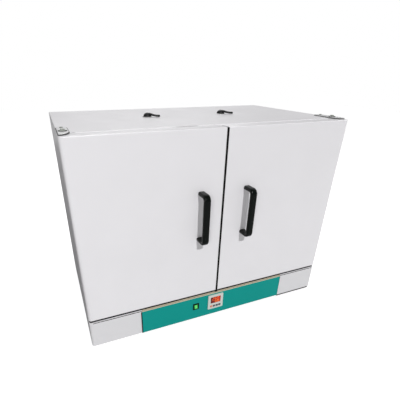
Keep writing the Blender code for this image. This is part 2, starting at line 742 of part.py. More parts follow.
def handle_x(side):
    """Middle of a door's handle: the right one sits a little farther from the split."""
    return RIGHT_HANDLE_FROM_MIDDLE if side > 0 else -LEFT_HANDLE_FROM_MIDDLE


def stud_places(side):
    x = handle_x(side)
    return [(x, HANDLE_Z - HANDLE_ARM), (x, HANDLE_Z + HANDLE_ARM)]


def make_door_skin(side, holder, paint):
    """Pressed pan, open at the back, with a pivot boss inside its top and bottom."""
    mesh = prism(door_outline(side, 0.0, DOOR_BACK_Y), DOOR_BOTTOM, DOOR_TOP)
    ends = []
    for edge in mesh.edges:
        level = edge.verts[0].co.z == edge.verts[1].co.z
        at_back = all(vertex.co.y > DOOR_BACK_Y - DOOR_END_BEVEL for vertex in edge.verts)
        if level and not at_back:
            ends.append(edge)
    bmesh.ops.bevel(
        mesh,
        geom=ends,
        offset=DOOR_END_BEVEL,
        segments=DOOR_BEVEL_STEPS,
        profile=DOOR_BEVEL_SHARE,
        affect="EDGES",
    )
    skin = piece(f"{SIDE_NAMES[side]}_door_skin", mesh, paint, holder)
    inside = door_outline(side, CASING_SHEET, DOOR_BACK_Y + CUT_OVERRUN)
    cut(skin, prism(inside, DOOR_BOTTOM + CASING_SHEET, DOOR_TOP - CASING_SHEET))
    weld(skin, *pivot_rods(side, PIVOT_BOSS_RADIUS, PIVOT_BOSS_DEPTH, -CASING_SHEET / 2))
    holes = pivot_rods(side, PIN_RADIUS + SEAT_GAP, PIVOT_BOSS_DEPTH + CUT_OVERRUN, CUT_OVERRUN)
    start, end = DOOR_FACE_Y - CUT_OVERRUN, DOOR_FACE_Y + CASING_SHEET + CUT_OVERRUN
    for place in stud_places(side):
        holes.append(rod(place, STUD_RADIUS + SEAT_GAP, start, end, "Y", SMALL_ROUND_STEPS))
    cut(skin, *holes)


def make_door_liner(side, holder, steel):
    """Flat stainless plate that closes the door's back."""
    margin = CASING_SHEET + SEAT_GAP
    low_x, high_x = ordered(side, DOOR_SPLIT / 2 + margin, HALF_WIDTH - margin)
    low = (low_x, DOOR_BACK_Y - STAINLESS_SHEET, DOOR_BOTTOM + margin)
    high = (high_x, DOOR_BACK_Y, DOOR_TOP - margin)
    piece(f"{SIDE_NAMES[side]}_door_liner", box(low, high), steel, holder)


def make_door_insulation(side, holder, wool):
    """Mineral wool between the door's skin and liner, clear of the bosses and studs."""
    margin = CASING_SHEET + SEAT_GAP
    back = DOOR_BACK_Y - STAINLESS_SHEET - SEAT_GAP
    block = prism(door_outline(side, margin, back), DOOR_BOTTOM + margin, DOOR_TOP - margin)
    filling = piece(f"{SIDE_NAMES[side]}_door_insulation", block, wool, holder)
    pockets = pivot_rods(side, PIVOT_BOSS_RADIUS + SEAT_GAP, PIVOT_BOSS_DEPTH + SEAT_GAP, CUT_OVERRUN)
    end = DOOR_FACE_Y + STUD_LENGTH + SEAT_GAP
    for place in stud_places(side):
        pockets.append(rod(place, STUD_RADIUS + SEAT_GAP, DOOR_FACE_Y, end, "Y", SMALL_ROUND_STEPS))
    cut(filling, *pockets)


def make_door_seal(side, holder, silicone):
    """Silicone ring on the door's back, which meets the frame and the other door's ring."""
    outer_x = CHAMBER_SIDE + SEAL_MARGIN + SEAL_WIDTH
    inner_x = SEAL_MEETING_GAP / 2
    low_z = CHAMBER_FLOOR - SEAL_MARGIN - SEAL_WIDTH
    high_z = CHAMBER_CEILING + SEAL_MARGIN + SEAL_WIDTH
    outer_low, outer_high = ordered(side, inner_x, outer_x)
    hole_low, hole_high = ordered(side, inner_x + SEAL_CENTRE_WIDTH, outer_x - SEAL_WIDTH)
    outer = rectangle((outer_low, low_z), (outer_high, high_z))
    inner = rectangle((hole_low, low_z + SEAL_WIDTH), (hole_high, high_z - SEAL_WIDTH))
    ring = framed(outer, inner, DOOR_BACK_Y + SEAT_GAP, CABINET_FRONT_Y - SEAT_GAP, "Y")
    piece(f"{SIDE_NAMES[side]}_door_seal", ring, silicone, holder)


def handle_stations():
    """Middle line of the handle as (out from the door, up) places, each with its normal's angle."""
    foot = SEAT_GAP
    bar = HANDLE_REACH - HANDLE_THICKNESS / 2
    stations = [((foot, HANDLE_ARM), RIGHT_ANGLE)]
    for end in (1, -1):
        centre = (bar - HANDLE_BEND, end * (HANDLE_ARM - HANDLE_BEND))
        for step in range(HANDLE_BEND_STEPS + 1):
            turn = RIGHT_ANGLE * step / HANDLE_BEND_STEPS
            angle = RIGHT_ANGLE - turn if end > 0 else -turn
            place = (centre[0] + HANDLE_BEND * math.cos(angle), centre[1] + HANDLE_BEND * math.sin(angle))
            stations.append((place, angle))
    stations.append(((foot, -HANDLE_ARM), -RIGHT_ANGLE))
    return stations


def make_door_handle(side, holder, plastic):
    """D-shaped pull: a rounded bar swept along its middle line, with a stud in each foot."""
    half_width, half_thickness = HANDLE_WIDTH / 2, HANDLE_THICKNESS / 2
    low, high = (-half_width, -half_thickness), (half_width, half_thickness)
    section = rounded(low, high, [HANDLE_EDGE_RADIUS] * 4, HANDLE_EDGE_STEPS)
    x = handle_x(side)
    rings = []
    for (out, up), angle in handle_stations():
        ring = []
        for across, proud in section:
            y = DOOR_FACE_Y - out - proud * math.cos(angle)
            ring.append((x + across, y, HANDLE_Z + up + proud * math.sin(angle)))
        rings.append(ring)
    handle = piece(f"{SIDE_NAMES[side]}_door_handle", closed_mesh(rings), plastic, holder)
    studs = []
    for place in stud_places(side):
        end = DOOR_FACE_Y + STUD_LENGTH
        studs.append(rod(place, STUD_RADIUS, DOOR_FACE_Y - STUD_ROOT, end, "Y", SMALL_ROUND_STEPS))
    weld(handle, *studs)


def make_door(side, finishes):
    """All the pieces that swing together, on an empty at the hinge axis."""
    holder = axis_empty(f"{SIDE_NAMES[side]}_door_axis", (*hinge_axis(side), DOOR_BOTTOM))
    make_door_skin(side, holder, finishes["white_paint"])
    make_door_liner(side, holder, finishes["stainless"])
    make_door_insulation(side, holder, finishes["wool"])
    make_door_seal(side, holder, finishes["silicone"])
    make_door_handle(side, holder, finishes["black_plastic"])


def hinge_plate_outline(side):
    """Rounded plate whose inner front corner is a quarter of an ellipse, longer than it is wide."""
    outer = HALF_WIDTH - UPPER_PLATE_EDGE
    low_x, high_x = ordered(side, outer - UPPER_PLATE_WIDTH, outer)
    front = DOOR_FACE_Y + UPPER_PLATE_FRONT
    back = front + UPPER_PLATE_LENGTH
    corner = UPPER_PLATE_CORNER
    outline = rounded((low_x, front), (high_x, back), [corner] * RECTANGLE_CORNERS)
    # The inner front corner is the second one on the left plate and the first one on the right plate
    start = CORNER_STEPS + 1 if side < 0 else 0
    reach = UPPER_PLATE_WIDTH - corner
    nose = []
    for step in range(UPPER_PLATE_NOSE_STEPS + 1):
        turn = RIGHT_ANGLE * step / UPPER_PLATE_NOSE_STEPS
        x = side * (outer - corner - reach * math.sin(turn))
        nose.append((x, front + UPPER_PLATE_NOSE * (1 - math.cos(turn))))
    if side > 0:
        nose.reverse()
    return outline[:start] + nose + outline[start + CORNER_STEPS + 1 :]


def make_upper_hinge(side, finishes):
    """Plate on the cabinet's top that reaches over the door and holds its pin."""
    name = SIDE_NAMES[side]
    plate_mesh = prism(hinge_plate_outline(side), UPPER_PLATE_BOTTOM, UPPER_PLATE_TOP)
    plate = piece(f"{name}_upper_hinge_plate", plate_mesh, finishes["white_paint"])
    bottom, top = UPPER_PLATE_BOTTOM - CUT_OVERRUN, UPPER_PLATE_TOP + CUT_OVERRUN
    pin_hole = rod(hinge_axis(side), PIN_RADIUS + SEAT_GAP, bottom, top)
    cut(plate, pin_hole, *fixing_holes([side], top, bottom))
    pin = rod(hinge_axis(side), PIN_RADIUS, DOOR_TOP - PIN_ENGAGEMENT, UPPER_PLATE_TOP)
    piece(f"{name}_upper_hinge_pin", pin, finishes["zinc"])


def make_hinge_bolt(side, zinc):
    """Flanged hexagon bolt that holds the hinge plate down."""
    place, radius, length = hinge_fixings(side)[0]
    tip, seat = UPPER_PLATE_TOP - length, UPPER_PLATE_TOP + SEAT_GAP
    flange_top = seat + HINGE_BOLT_FLANGE_HEIGHT
    flange_radius = HINGE_BOLT_FLANGE_RADIUS
    profile = [(0, tip), (radius, tip), (radius, seat), (flange_radius, seat)]
    profile += [(flange_radius, flange_top), (0, flange_top)]
    bolt = piece(f"{SIDE_NAMES[side]}_hinge_bolt", turned(profile, place), zinc)
    corner_radius = HINGE_BOLT_HEAD_WIDTH / math.sqrt(3)
    head_start, head_end = flange_top - HINGE_BOLT_FLANGE_HEIGHT / 2, seat + HINGE_BOLT_HEAD_HEIGHT
    weld(bolt, rod(place, corner_radius, head_start, head_end, steps=HEXAGON_STEPS))


def make_hinge_screw(side, zinc):
    """Pan-head screw at the hinge plate's rear end."""
    place, radius, length = hinge_fixings(side)[1]
    tip, seat = UPPER_PLATE_TOP - length, UPPER_PLATE_TOP + SEAT_GAP
    head_radius, top = HINGE_SCREW_HEAD_RADIUS, seat + HINGE_SCREW_HEAD_HEIGHT
    shoulder = seat + SCREW_SHOULDER_SHARE * HINGE_SCREW_HEAD_HEIGHT
    profile = [(0, tip), (radius, tip), (radius, seat), (head_radius, seat)]
    profile += [(head_radius, shoulder), (head_radius * SCREW_CROWN_SHARE, top), (0, top)]
    screw = turned(profile, place, steps=SMALL_ROUND_STEPS)
    piece(f"{SIDE_NAMES[side]}_hinge_screw", screw, zinc)


def make_lower_hinge(side, finishes):
    """Block on the base's ledge with a collared pin that carries the door."""
    name = SIDE_NAMES[side]
    inner = HALF_WIDTH - LOWER_PLATE_EDGE - LOWER_PLATE_WIDTH
    low_x, high_x = ordered(side, inner, HALF_WIDTH - LOWER_PLATE_EDGE)
    front = DOOR_FACE_Y + LOWER_PLATE_FRONT
    bottom = BASE_TOP + SEAT_GAP
    top = bottom + LOWER_PLATE_THICKNESS
    radii = [LOWER_PLATE_CORNER] * RECTANGLE_CORNERS
    outline = rounded((low_x, front), (high_x, front + LOWER_PLATE_LENGTH), radii)
    plate = piece(f"{name}_lower_hinge_plate", prism(outline, bottom, top), finishes["white_paint"])
    hole_start, hole_end = bottom - CUT_OVERRUN, top + CUT_OVERRUN
    cut(plate, rod(hinge_axis(side), PIN_RADIUS + SEAT_GAP, hole_start, hole_end))
    tip = DOOR_BOTTOM + PIN_ENGAGEMENT
    profile = [
        (0, bottom),
        (PIN_RADIUS, bottom),
        (PIN_RADIUS, top + SEAT_GAP),
        (PIN_COLLAR_RADIUS, top + SEAT_GAP),
        (PIN_COLLAR_RADIUS, DOOR_BOTTOM - SEAT_GAP),
        (PIN_RADIUS, DOOR_BOTTOM - SEAT_GAP),
        (PIN_RADIUS, tip),
        (0, tip),
    ]
    piece(f"{name}_lower_hinge_pin", turned(profile, hinge_axis(side)), finishes["zinc"])


def around(centre, radius, angle):
    """The point at a radius and angle from a centre, seen from above."""
    return (centre[0] + radius * math.cos(angle), centre[1] + radius * math.sin(angle))


def window_block(centre, angle, bottom, top):
    """A block that reaches out from a vent's middle, to cut a window in its wall."""
    reach = VENT_RIM_RADIUS + CUT_OVERRUN
    half = VENT_WINDOW_WIDTH / 2
    start = VENT_BORE_RADIUS / 2
    outline = []
    for out, across in rectangle((start, -half), (reach, half)):
        x = centre[0] + out * math.cos(angle) - across * math.sin(angle)
        y = centre[1] + out * math.sin(angle) + across * math.cos(angle)
        outline.append((x, y))
    return prism(outline, bottom, top)


def vent_levels():
    """Heights of the vent's rim, of its sleeve's top and of its window's ends."""
    rim_top = CABINET_TOP + SEAT_GAP + VENT_RIM_THICKNESS
    sleeve_top = CABINET_TOP + VENT_SLEEVE_HEIGHT
    return rim_top, sleeve_top, rim_top + VENT_WINDOW_LIP, sleeve_top - VENT_WINDOW_LIP


def make_vent_pipe(name, steel):
    """Pipe from the chamber's ceiling to a rim on top, ending in a sleeve with one window."""
    centre = (VENT_PLACES[name], VENT_Y)
    rim_top, sleeve_top, window_bottom, window_top = vent_levels()
    bore, wall = VENT_BORE_RADIUS, VENT_BORE_RADIUS + VENT_WALL
    bottom, rim_bottom = CHAMBER_CEILING - VENT_BELOW_CEILING, CABINET_TOP + SEAT_GAP
    profile = [
        (bore, bottom),
        (wall, bottom),
        (wall, rim_bottom),
        (VENT_RIM_RADIUS, rim_bottom),
        (VENT_RIM_RADIUS, rim_top),
        (wall, rim_top),
        (wall, sleeve_top),
        (bore, sleeve_top),
    ]
    pipe = piece(f"{name}_vent_pipe", turned(profile, centre, loop=True), steel)
    angle = LEVER_REST_ANGLE + HALF_TURN
    cut(pipe, window_block(centre, angle, window_bottom, window_top))


def make_vent_damper(name, plastic):
    """Domed cap that turns on the pipe's sleeve, with a lever and a window of its own."""
    centre = (VENT_PLACES[name], VENT_Y)
    rim_top, sleeve_top, window_bottom, window_top = vent_levels()
    holder = axis_empty(f"{name}_vent_axis", (*centre, rim_top))
    inner = VENT_BORE_RADIUS + VENT_WALL + SEAT_GAP
    outer = inner + DAMPER_WALL
    bottom, roof = rim_top + SEAT_GAP, sleeve_top + SEAT_GAP
    profile = [(0, roof), (inner, roof), (inner, bottom), (outer, bottom)]
    for step in range(DAMPER_DOME_STEPS):
        angle = RIGHT_ANGLE * step / DAMPER_DOME_STEPS
        profile.append((outer * math.cos(angle), roof + DAMPER_CROWN * math.sin(angle)))
    profile.append((0, roof + DAMPER_CROWN))
    cap = piece(f"{name}_vent_damper", turned(profile, centre), plastic, holder)
    rest = LEVER_REST_ANGLE
    cut(cap, window_block(centre, rest + RIGHT_ANGLE, window_bottom, window_top))
    arm_bottom = bottom + LEVER_UNDERCUT
    arm_end = arc((0, 0), LEVER_WIDTH / 2, -RIGHT_ANGLE, RIGHT_ANGLE, CORNER_STEPS)
    arm_start = outer - DAMPER_WALL / 2
    arm = [(LEVER_REACH + out, across) for out, across in arm_end]
    arm += [(arm_start, LEVER_WIDTH / 2), (arm_start, -LEVER_WIDTH / 2)]
    outline = []
    for out, across in arm:
        x = centre[0] + out * math.cos(rest) - across * math.sin(rest)
        y = centre[1] + out * math.sin(rest) + across * math.cos(rest)
        outline.append((x, y))
    weld(cap, prism(outline, arm_bottom, arm_bottom + LEVER_THICKNESS))
    knob_bottom = bottom + LEVER_UNDERCUT / 2
    knob_top = knob_bottom + LEVER_KNOB_HEIGHT
    knob = [
        (0, knob_bottom),
        (LEVER_KNOB_RADIUS, knob_bottom),
        (LEVER_KNOB_RADIUS, knob_top - LEVER_KNOB_EDGE),
        (LEVER_KNOB_RADIUS - LEVER_KNOB_EDGE, knob_top),
        (0, knob_top),
    ]
    weld(cap, turned(knob, around(centre, LEVER_REACH, rest), steps=SMALL_ROUND_STEPS))


def key_x(number):
    return CONTROLLER_FROM_MIDDLE + (number - (KEY_COUNT - 1) / 2) * KEY_PITCH


def make_controller(finishes):
    """Square panel instrument with a display window and a row of keys."""
    x_middle, z = CONTROLLER_FROM_MIDDLE, BASE_BOTTOM + CONTROLLER_HEIGHT
    bezel_back = DOOR_FACE_Y - SEAT_GAP
    bezel_front = bezel_back - CONTROLLER_BEZEL
    half, body_half = CONTROLLER_SIZE / 2, CONTROLLER_BODY / 2
    corners = [CONTROLLER_CORNER] * RECTANGLE_CORNERS
    outline = rounded((x_middle - half, z - half), (x_middle + half, z + half), corners)
    case = piece("controller_case", prism(outline, bezel_front, bezel_back, "Y"), finishes["grey_plastic"])
    body_low = (x_middle - body_half, bezel_back - CONTROLLER_EDGE_OVERLAP, z - body_half)
    weld(case, box(body_low, (x_middle + body_half, DOOR_FACE_Y + CONTROLLER_DEPTH, z + body_half)))
    window_z = z + WINDOW_ABOVE_MIDDLE
    half_width, half_height = WINDOW_WIDTH / 2, WINDOW_HEIGHT / 2
    window_back = bezel_front + WINDOW_THICKNESS
    low = (x_middle - half_width, bezel_front, window_z - half_height)
    high = (x_middle + half_width, window_back, window_z + half_height)
    piece("controller_window", box(low, high), finishes["red_window"])
    pocket_low = (low[0] - SEAT_GAP, bezel_front - CUT_OVERRUN, low[2] - SEAT_GAP)
    pockets = [box(pocket_low, (high[0] + SEAT_GAP, high[1] + SEAT_GAP, high[2] + SEAT_GAP))]
    key_z = z - KEY_BELOW_MIDDLE
    for number in range(KEY_COUNT):
        x = key_x(number)
        low = (x - KEY_WIDTH / 2, bezel_front - KEY_PROUD, key_z - KEY_HEIGHT / 2)
        key_back = bezel_front + KEY_POCKET - SEAT_GAP - KEY_TRAVEL
        high = (x + KEY_WIDTH / 2, key_back, key_z + KEY_HEIGHT / 2)
        holder = axis_empty(f"controller_key_{number + 1}_rest", (x, bezel_front, key_z))
        piece(f"controller_key_{number + 1}", box(low, high), finishes["dark_plastic"], holder)
        pocket_low = (low[0] - SEAT_GAP, bezel_front - CUT_OVERRUN, low[2] - SEAT_GAP)
        pocket_high = (high[0] + SEAT_GAP, bezel_front + KEY_POCKET, high[2] + SEAT_GAP)
        pockets.append(box(pocket_low, pocket_high))
    cut(case, *pockets)


def make_switch(finishes):
    """Snap-in power switch: a bezelled body with a lit rocker that tips about X."""
    x, z = SWITCH_FROM_MIDDLE, BASE_BOTTOM + SWITCH_HEIGHT
    bezel_back = DOOR_FACE_Y - SEAT_GAP
    bezel_front = bezel_back - SWITCH_BEZEL_THICKNESS
    half_width, half_height = SWITCH_BEZEL_WIDTH / 2, SWITCH_BEZEL_HEIGHT / 2
    low, high = (x - half_width, z - half_height), (x + half_width, z + half_height)
    bezel = prism(rounded(low, high, [SWITCH_CORNER] * RECTANGLE_CORNERS), bezel_front, bezel_back, "Y")
    body = piece("switch_body", bezel, finishes["black_plastic"])
    half_width, half_height = SWITCH_BODY_WIDTH / 2, SWITCH_BODY_HEIGHT / 2
    low = (x - half_width, bezel_back - SWITCH_BEZEL_THICKNESS / 2, z - half_height)
    weld(body, box(low, (x + half_width, DOOR_FACE_Y + SWITCH_BODY_DEPTH, z + half_height)))
    pivot_y = DOOR_FACE_Y + ROCKER_PIVOT_DEPTH
    half_width, half_height = ROCKER_WIDTH / 2 + SEAT_GAP, ROCKER_RADIUS + ROCKER_POCKET_GAP
    low = (x - half_width, bezel_front - CUT_OVERRUN, z - half_height)
    cut(body, box(low, (x + half_width, pivot_y + ROCKER_RADIUS + SEAT_GAP, z + half_height)))
    rise = pivot_y - bezel_front + ROCKER_PROUD
    face = ROCKER_RADIUS * ROCKER_FACE_SHARE
    outline = arc((0, 0), ROCKER_RADIUS, -ROCKER_BACK_ANGLE, ROCKER_BACK_ANGLE, ROCKER_BACK_STEPS)
    outline += [(-rise, face), (-rise + ROCKER_DISH, 0), (-rise, -face)]
    tipped = []
    for deep, up in outline:
        y = pivot_y + deep * math.cos(ROCKER_TILT) + up * math.sin(ROCKER_TILT)
        tipped.append((y, z - deep * math.sin(ROCKER_TILT) + up * math.cos(ROCKER_TILT)))
    holder = axis_empty("switch_rocker_axis", (x, pivot_y, z))
    rocker = prism(tipped, x - ROCKER_WIDTH / 2, x + ROCKER_WIDTH / 2, "X")
    piece("switch_rocker", rocker, finishes["green_lamp"], holder)


def make_fan_motor(grey):
    """Motor flanged to the rear panel, with a bore for its shaft's tail."""
    back = BACK_PANEL_Y - SEAT_GAP
    flange_front = back - MOTOR_FLANGE_THICKNESS
    front = flange_front - MOTOR_LENGTH
    profile = [
        (0, front + SHAFT_BORE_DEPTH),
        (SHAFT_RADIUS + SEAT_GAP, front + SHAFT_BORE_DEPTH),
        (SHAFT_RADIUS + SEAT_GAP, front),
        (MOTOR_RADIUS - MOTOR_EDGE, front),
        (MOTOR_RADIUS, front + MOTOR_EDGE),
        (MOTOR_RADIUS, flange_front),
        (MOTOR_FLANGE_RADIUS, flange_front),
        (MOTOR_FLANGE_RADIUS, back),
        (0, back),
    ]
    piece("fan_motor", turned(profile, (0, FAN_Z), "Y"), grey)
    return front


def make_fan(motor_front, finishes):
    """Shaft and centrifugal wheel, turning about the chamber's middle line."""
    holder = axis_empty("fan_axis", (0, CHAMBER_BACK_Y, FAN_Z))
    disc_back = CHAMBER_BACK_Y - IMPELLER_WALL_GAP
    disc_front = disc_back - IMPELLER_DISC
    blade_front = disc_back - IMPELLER_WIDTH
    hub_front = disc_back - HUB_LENGTH
    shaft_end = motor_front + SHAFT_BORE_DEPTH - SEAT_GAP
    shaft = rod((0, FAN_Z), SHAFT_RADIUS, hub_front - SHAFT_TIP, shaft_end, "Y")
    piece("fan_shaft", shaft, finishes["zinc"], holder)
    bore = SHAFT_RADIUS + SEAT_GAP
    profile = [
        (bore, hub_front),
        (HUB_RADIUS, hub_front),
        (HUB_RADIUS, disc_front),
        (IMPELLER_RADIUS, disc_front),
        (IMPELLER_RADIUS, disc_back),
        (bore, disc_back),
    ]
    wheel = piece("fan_impeller", turned(profile, (0, FAN_Z), "Y", loop=True), finishes["zinc"], holder)
    blades = []
    for number in range(BLADE_COUNT):
        angle = FULL_TURN * number / BLADE_COUNT
        outline = []
        start, end = IMPELLER_EYE_RADIUS, IMPELLER_RADIUS - BLADE_OVERLAP
        half = BLADE_THICKNESS / 2
        for out, across in rectangle((start, -half), (end, half)):
            x = out * math.cos(angle) - across * math.sin(angle)
            outline.append((x, FAN_Z + out * math.sin(angle) + across * math.cos(angle)))
        blades.append(prism(outline, blade_front, disc_front + BLADE_OVERLAP, "Y"))
    weld(wheel, *blades)
    ring_low = blade_front - IMPELLER_DISC
    ring_outer = circle((0, FAN_Z), IMPELLER_RADIUS)
    ring_inner = circle((0, FAN_Z), IMPELLER_EYE_RADIUS)
    weld(wheel, framed(ring_outer, ring_inner, ring_low, blade_front + BLADE_OVERLAP, "Y"))


def heater_route():
    """Middle line of the heater: a leg, a bend, the ring round the fan, a bend and a leg."""
    plane = CHAMBER_BACK_Y - IMPELLER_WALL_GAP - IMPELLER_WIDTH / 2
    tail = INSULATION_BACK_Y + HEATER_TAIL
    first = math.asin(HEATER_LEG_SPREAD / HEATER_RING_RADIUS)
    bend_angle = HEATER_BEND / HEATER_RING_RADIUS
    half = [(first, tail)]
    for step in range(CORNER_STEPS + 1):
        turn = RIGHT_ANGLE * step / CORNER_STEPS
        half.append((first + bend_angle * (1 - math.cos(turn)), plane + HEATER_BEND * (1 - math.sin(turn))))
    start = first + bend_angle
    ring = []
    for step in range(1, HEATER_RING_STEPS):
        ring.append((start + (FULL_TURN - 2 * start) * step / HEATER_RING_STEPS, plane))
    other = [(FULL_TURN - angle, y) for angle, y in reversed(half)]
    points = []
    for angle, y in half + ring + other:
        x = -HEATER_RING_RADIUS * math.sin(angle)
        points.append((x, y, FAN_Z - HEATER_RING_RADIUS * math.cos(angle)))
    return points


def make_heater(material):
    """Tubular heating ring round the fan wheel, its legs going out through the rear wall."""
    curve = bpy.data.curves.new("heater_element", "CURVE")
    curve.dimensions = "3D"
    curve.bevel_depth = HEATER_TUBE_RADIUS
    curve.bevel_resolution = 1
    curve.use_fill_caps = True
    points = heater_route()
    line = curve.splines.new("POLY")
    line.points.add(len(points) - 1)
    for target, place in zip(line.points, points):
        target.co = (*place, 1.0)
    curve.materials.append(material)
    thing = bpy.data.objects.new("heater_element", curve)
    bpy.context.scene.collection.objects.link(thing)


def make_air_baffle(steel):
    """Pan in front of the fan: air goes in through its grille and out past its sides."""
    side = CHAMBER_SIDE - BAFFLE_SIDE_GAP
    low_z, high_z = CHAMBER_FLOOR + BAFFLE_END_GAP, CHAMBER_CEILING - BAFFLE_END_GAP
    back = CHAMBER_BACK_Y - SEAT_GAP
    sheet = STAINLESS_SHEET
    inner_y, inner_low, inner_high = BAFFLE_Y + sheet, low_z + sheet, high_z - sheet
    pan = [(back, low_z), (BAFFLE_Y, low_z), (BAFFLE_Y, high_z), (back, high_z)]
    pan += [(back, inner_high), (inner_y, inner_high), (inner_y, inner_low), (back, inner_low)]
    baffle = piece("air_baffle", prism(pan, -side, side, "X"), steel)
    slots = []
    for number in range(-BAFFLE_SLOT_PAIR_COUNT, BAFFLE_SLOT_PAIR_COUNT + 1):
        offset = number * BAFFLE_SLOT_PITCH
        half = math.sqrt(BAFFLE_INLET_RADIUS**2 - offset**2)
        low = (-half, BAFFLE_Y - CUT_OVERRUN, FAN_Z + offset - BAFFLE_SLOT_HEIGHT / 2)
        high = (half, BAFFLE_Y + sheet + CUT_OVERRUN, FAN_Z + offset + BAFFLE_SLOT_HEIGHT / 2)
        slots.append(box(low, high))
    cut(baffle, *slots)


def make_temperature_probe(steel):
    """Sensor through the rear wall, just under the ceiling, held by its hexagon head."""
    place = probe_place()
    start = LINER_BACK_Y + SEAT_GAP
    end = start + PROBE_HEAD_LENGTH
    stem = rod(place, PROBE_RADIUS, BAFFLE_Y - PROBE_REACH, start + PROBE_RADIUS, "Y", SMALL_ROUND_STEPS)
    probe = piece("temperature_probe", stem, steel)
    weld(probe, rod(place, PROBE_HEAD_RADIUS, start, end, "Y", HEXAGON_STEPS))


def rung_heights():
    """Underside of each rung, evenly spread over the chamber's height."""
    first = CHAMBER_FLOOR + RUNG_END_GAP
    pitch = (CHAMBER_CEILING - RUNG_END_GAP - first) / (RUNG_COUNT - 1)
    return [first + number * pitch for number in range(RUNG_COUNT)]


def post_inner_side():
    return CHAMBER_SIDE - SEAT_GAP - POST_THICKNESS


def make_shelf_racks(steel):
    """Ladder on each side wall: two posts with rungs that carry the shelves."""
    low_z, high_z = CHAMBER_FLOOR + POST_END_GAP, CHAMBER_CEILING - POST_END_GAP
    rung_back = RUNG_FRONT_Y + RUNG_LENGTH
    for side, name in SIDE_NAMES.items():
        post_low, post_high = ordered(side, post_inner_side(), CHAMBER_SIDE - SEAT_GAP)
        rung_end = post_inner_side() + RUNG_OVERLAP
        rung_low, rung_high = ordered(side, rung_end - RUNG_WIDTH, rung_end)
        posts = []
        for share in POST_PLACE_SHARES:
            front = RUNG_FRONT_Y + share * RUNG_LENGTH - POST_WIDTH / 2
            posts.append(box((post_low, front, low_z), (post_high, front + POST_WIDTH, high_z)))
        rungs = []
        for z in rung_heights():
            rungs.append(box((rung_low, RUNG_FRONT_Y, z), (rung_high, rung_back, z + RUNG_THICKNESS)))
        rack = piece(f"{name}_shelf_rack", together(*rungs), steel)
        weld(rack, *posts)


def make_shelves(steel):
    """Flat grid shelves lying on the rungs."""
    side = post_inner_side() - SHELF_SIDE_GAP
    front, back = SHELF_FRONT_Y, SHELF_FRONT_Y + SHELF_DEPTH
    column = (2 * side - 2 * SHELF_RIM + SHELF_BAR) / SHELF_COLUMN_COUNT
    row = (SHELF_DEPTH - 2 * SHELF_RIM + SHELF_BAR) / SHELF_ROW_COUNT
    for name, rung in SHELF_RUNG_STEPS.items():
        bottom = rung_heights()[rung] + RUNG_THICKNESS + SEAT_GAP
        top = bottom + SHELF_THICKNESS
        shelf = piece(f"{name}_shelf", box((-side, front, bottom), (side, back, top)), steel)
        holes = []
        for across in range(SHELF_COLUMN_COUNT):
            for deep in range(SHELF_ROW_COUNT):
                x = -side + SHELF_RIM + across * column
                y = front + SHELF_RIM + deep * row
                high = (x + column - SHELF_BAR, y + row - SHELF_BAR, top + CUT_OVERRUN)
                holes.append(box((x, y, bottom - CUT_OVERRUN), high))
        cut(shelf, *holes)


def make_power_inlet(plastic):
    """Mains inlet on the back of the base: a flanged socket with three flat pins."""
    x, z = HALF_WIDTH - INLET_FROM_SIDE, BASE_BOTTOM + INLET_HEIGHT
    face = CABINET_BACK_Y + REAR_REACH
    flange_front = CABINET_BACK_Y + SEAT_GAP
    half_width, half_height = INLET_FLANGE_WIDTH / 2, INLET_FLANGE_HEIGHT / 2
    low, high = (x - half_width, flange_front, z - half_height), (x + half_width, face, z + half_height)
    inlet = piece("power_inlet", box(low, high), plastic)
    half_width, half_height = INLET_BODY_WIDTH / 2, INLET_BODY_HEIGHT / 2
    low = (x - half_width, face - INLET_BODY_DEPTH, z - half_height)
    high = (x + half_width, face - INLET_FLANGE_THICKNESS / 2, z + half_height)
    weld(inlet, box(low, high))
    half_width, half_height = half_width - INLET_WALL, half_height - INLET_WALL
    socket_bottom = face - INLET_SOCKET_DEPTH
    low = (x - half_width, socket_bottom, z - half_height)
    cut(inlet, box(low, (x + half_width, face + CUT_OVERRUN, z + half_height)))
    pins = []
    for share in INLET_PIN_SHARES:
        pin_x = x + share * half_width
        pin_z = z - INLET_PIN_DROP
        low = (pin_x - INLET_PIN_WIDTH / 2, socket_bottom - INLET_WALL / 2, pin_z - INLET_PIN_HEIGHT / 2)
        end = socket_bottom + INLET_PIN_LENGTH
        pins.append(box(low, (pin_x + INLET_PIN_WIDTH / 2, end, pin_z + INLET_PIN_HEIGHT / 2)))
    weld(inlet, *pins)


def make_power_relay(aluminium):
    """Solid-state relay that switches the heater, on a finned sink on the base's floor."""
    x, y = RELAY_FROM_SIDE - HALF_WIDTH, DOOR_FACE_Y + RELAY_FROM_FRONT
    bottom = base_floor_top() + SEAT_GAP
    sole_top = bottom + RELAY_SOLE
    half = RELAY_WIDTH / 2
    pitch = (RELAY_WIDTH - RELAY_FIN_THICKNESS) / (RELAY_FIN_COUNT - 1)
    outline = [(x - half, bottom), (x + half, bottom)]
    for number in reversed(range(RELAY_FIN_COUNT)):
        low = x - half + number * pitch
        high = low + RELAY_FIN_THICKNESS
        fin = [(high, sole_top + RELAY_FIN_HEIGHT), (low, sole_top + RELAY_FIN_HEIGHT)]
        foot = [] if number == RELAY_FIN_COUNT - 1 else [(high, sole_top)]
        root = [(low, sole_top)] if number else []
        outline += foot + fin + root
    relay = piece("power_relay", prism(outline, y, y + RELAY_LENGTH, "Y"), aluminium)
    half_width = RELAY_BLOCK_WIDTH / 2
    start = y + (RELAY_LENGTH - RELAY_BLOCK_LENGTH) / 2
    block_bottom = sole_top + RELAY_FIN_HEIGHT - RELAY_FIN_THICKNESS
    low = (x - half_width, start, block_bottom)
    weld(relay, box(low, (x + half_width, start + RELAY_BLOCK_LENGTH, block_bottom + RELAY_BLOCK_HEIGHT)))


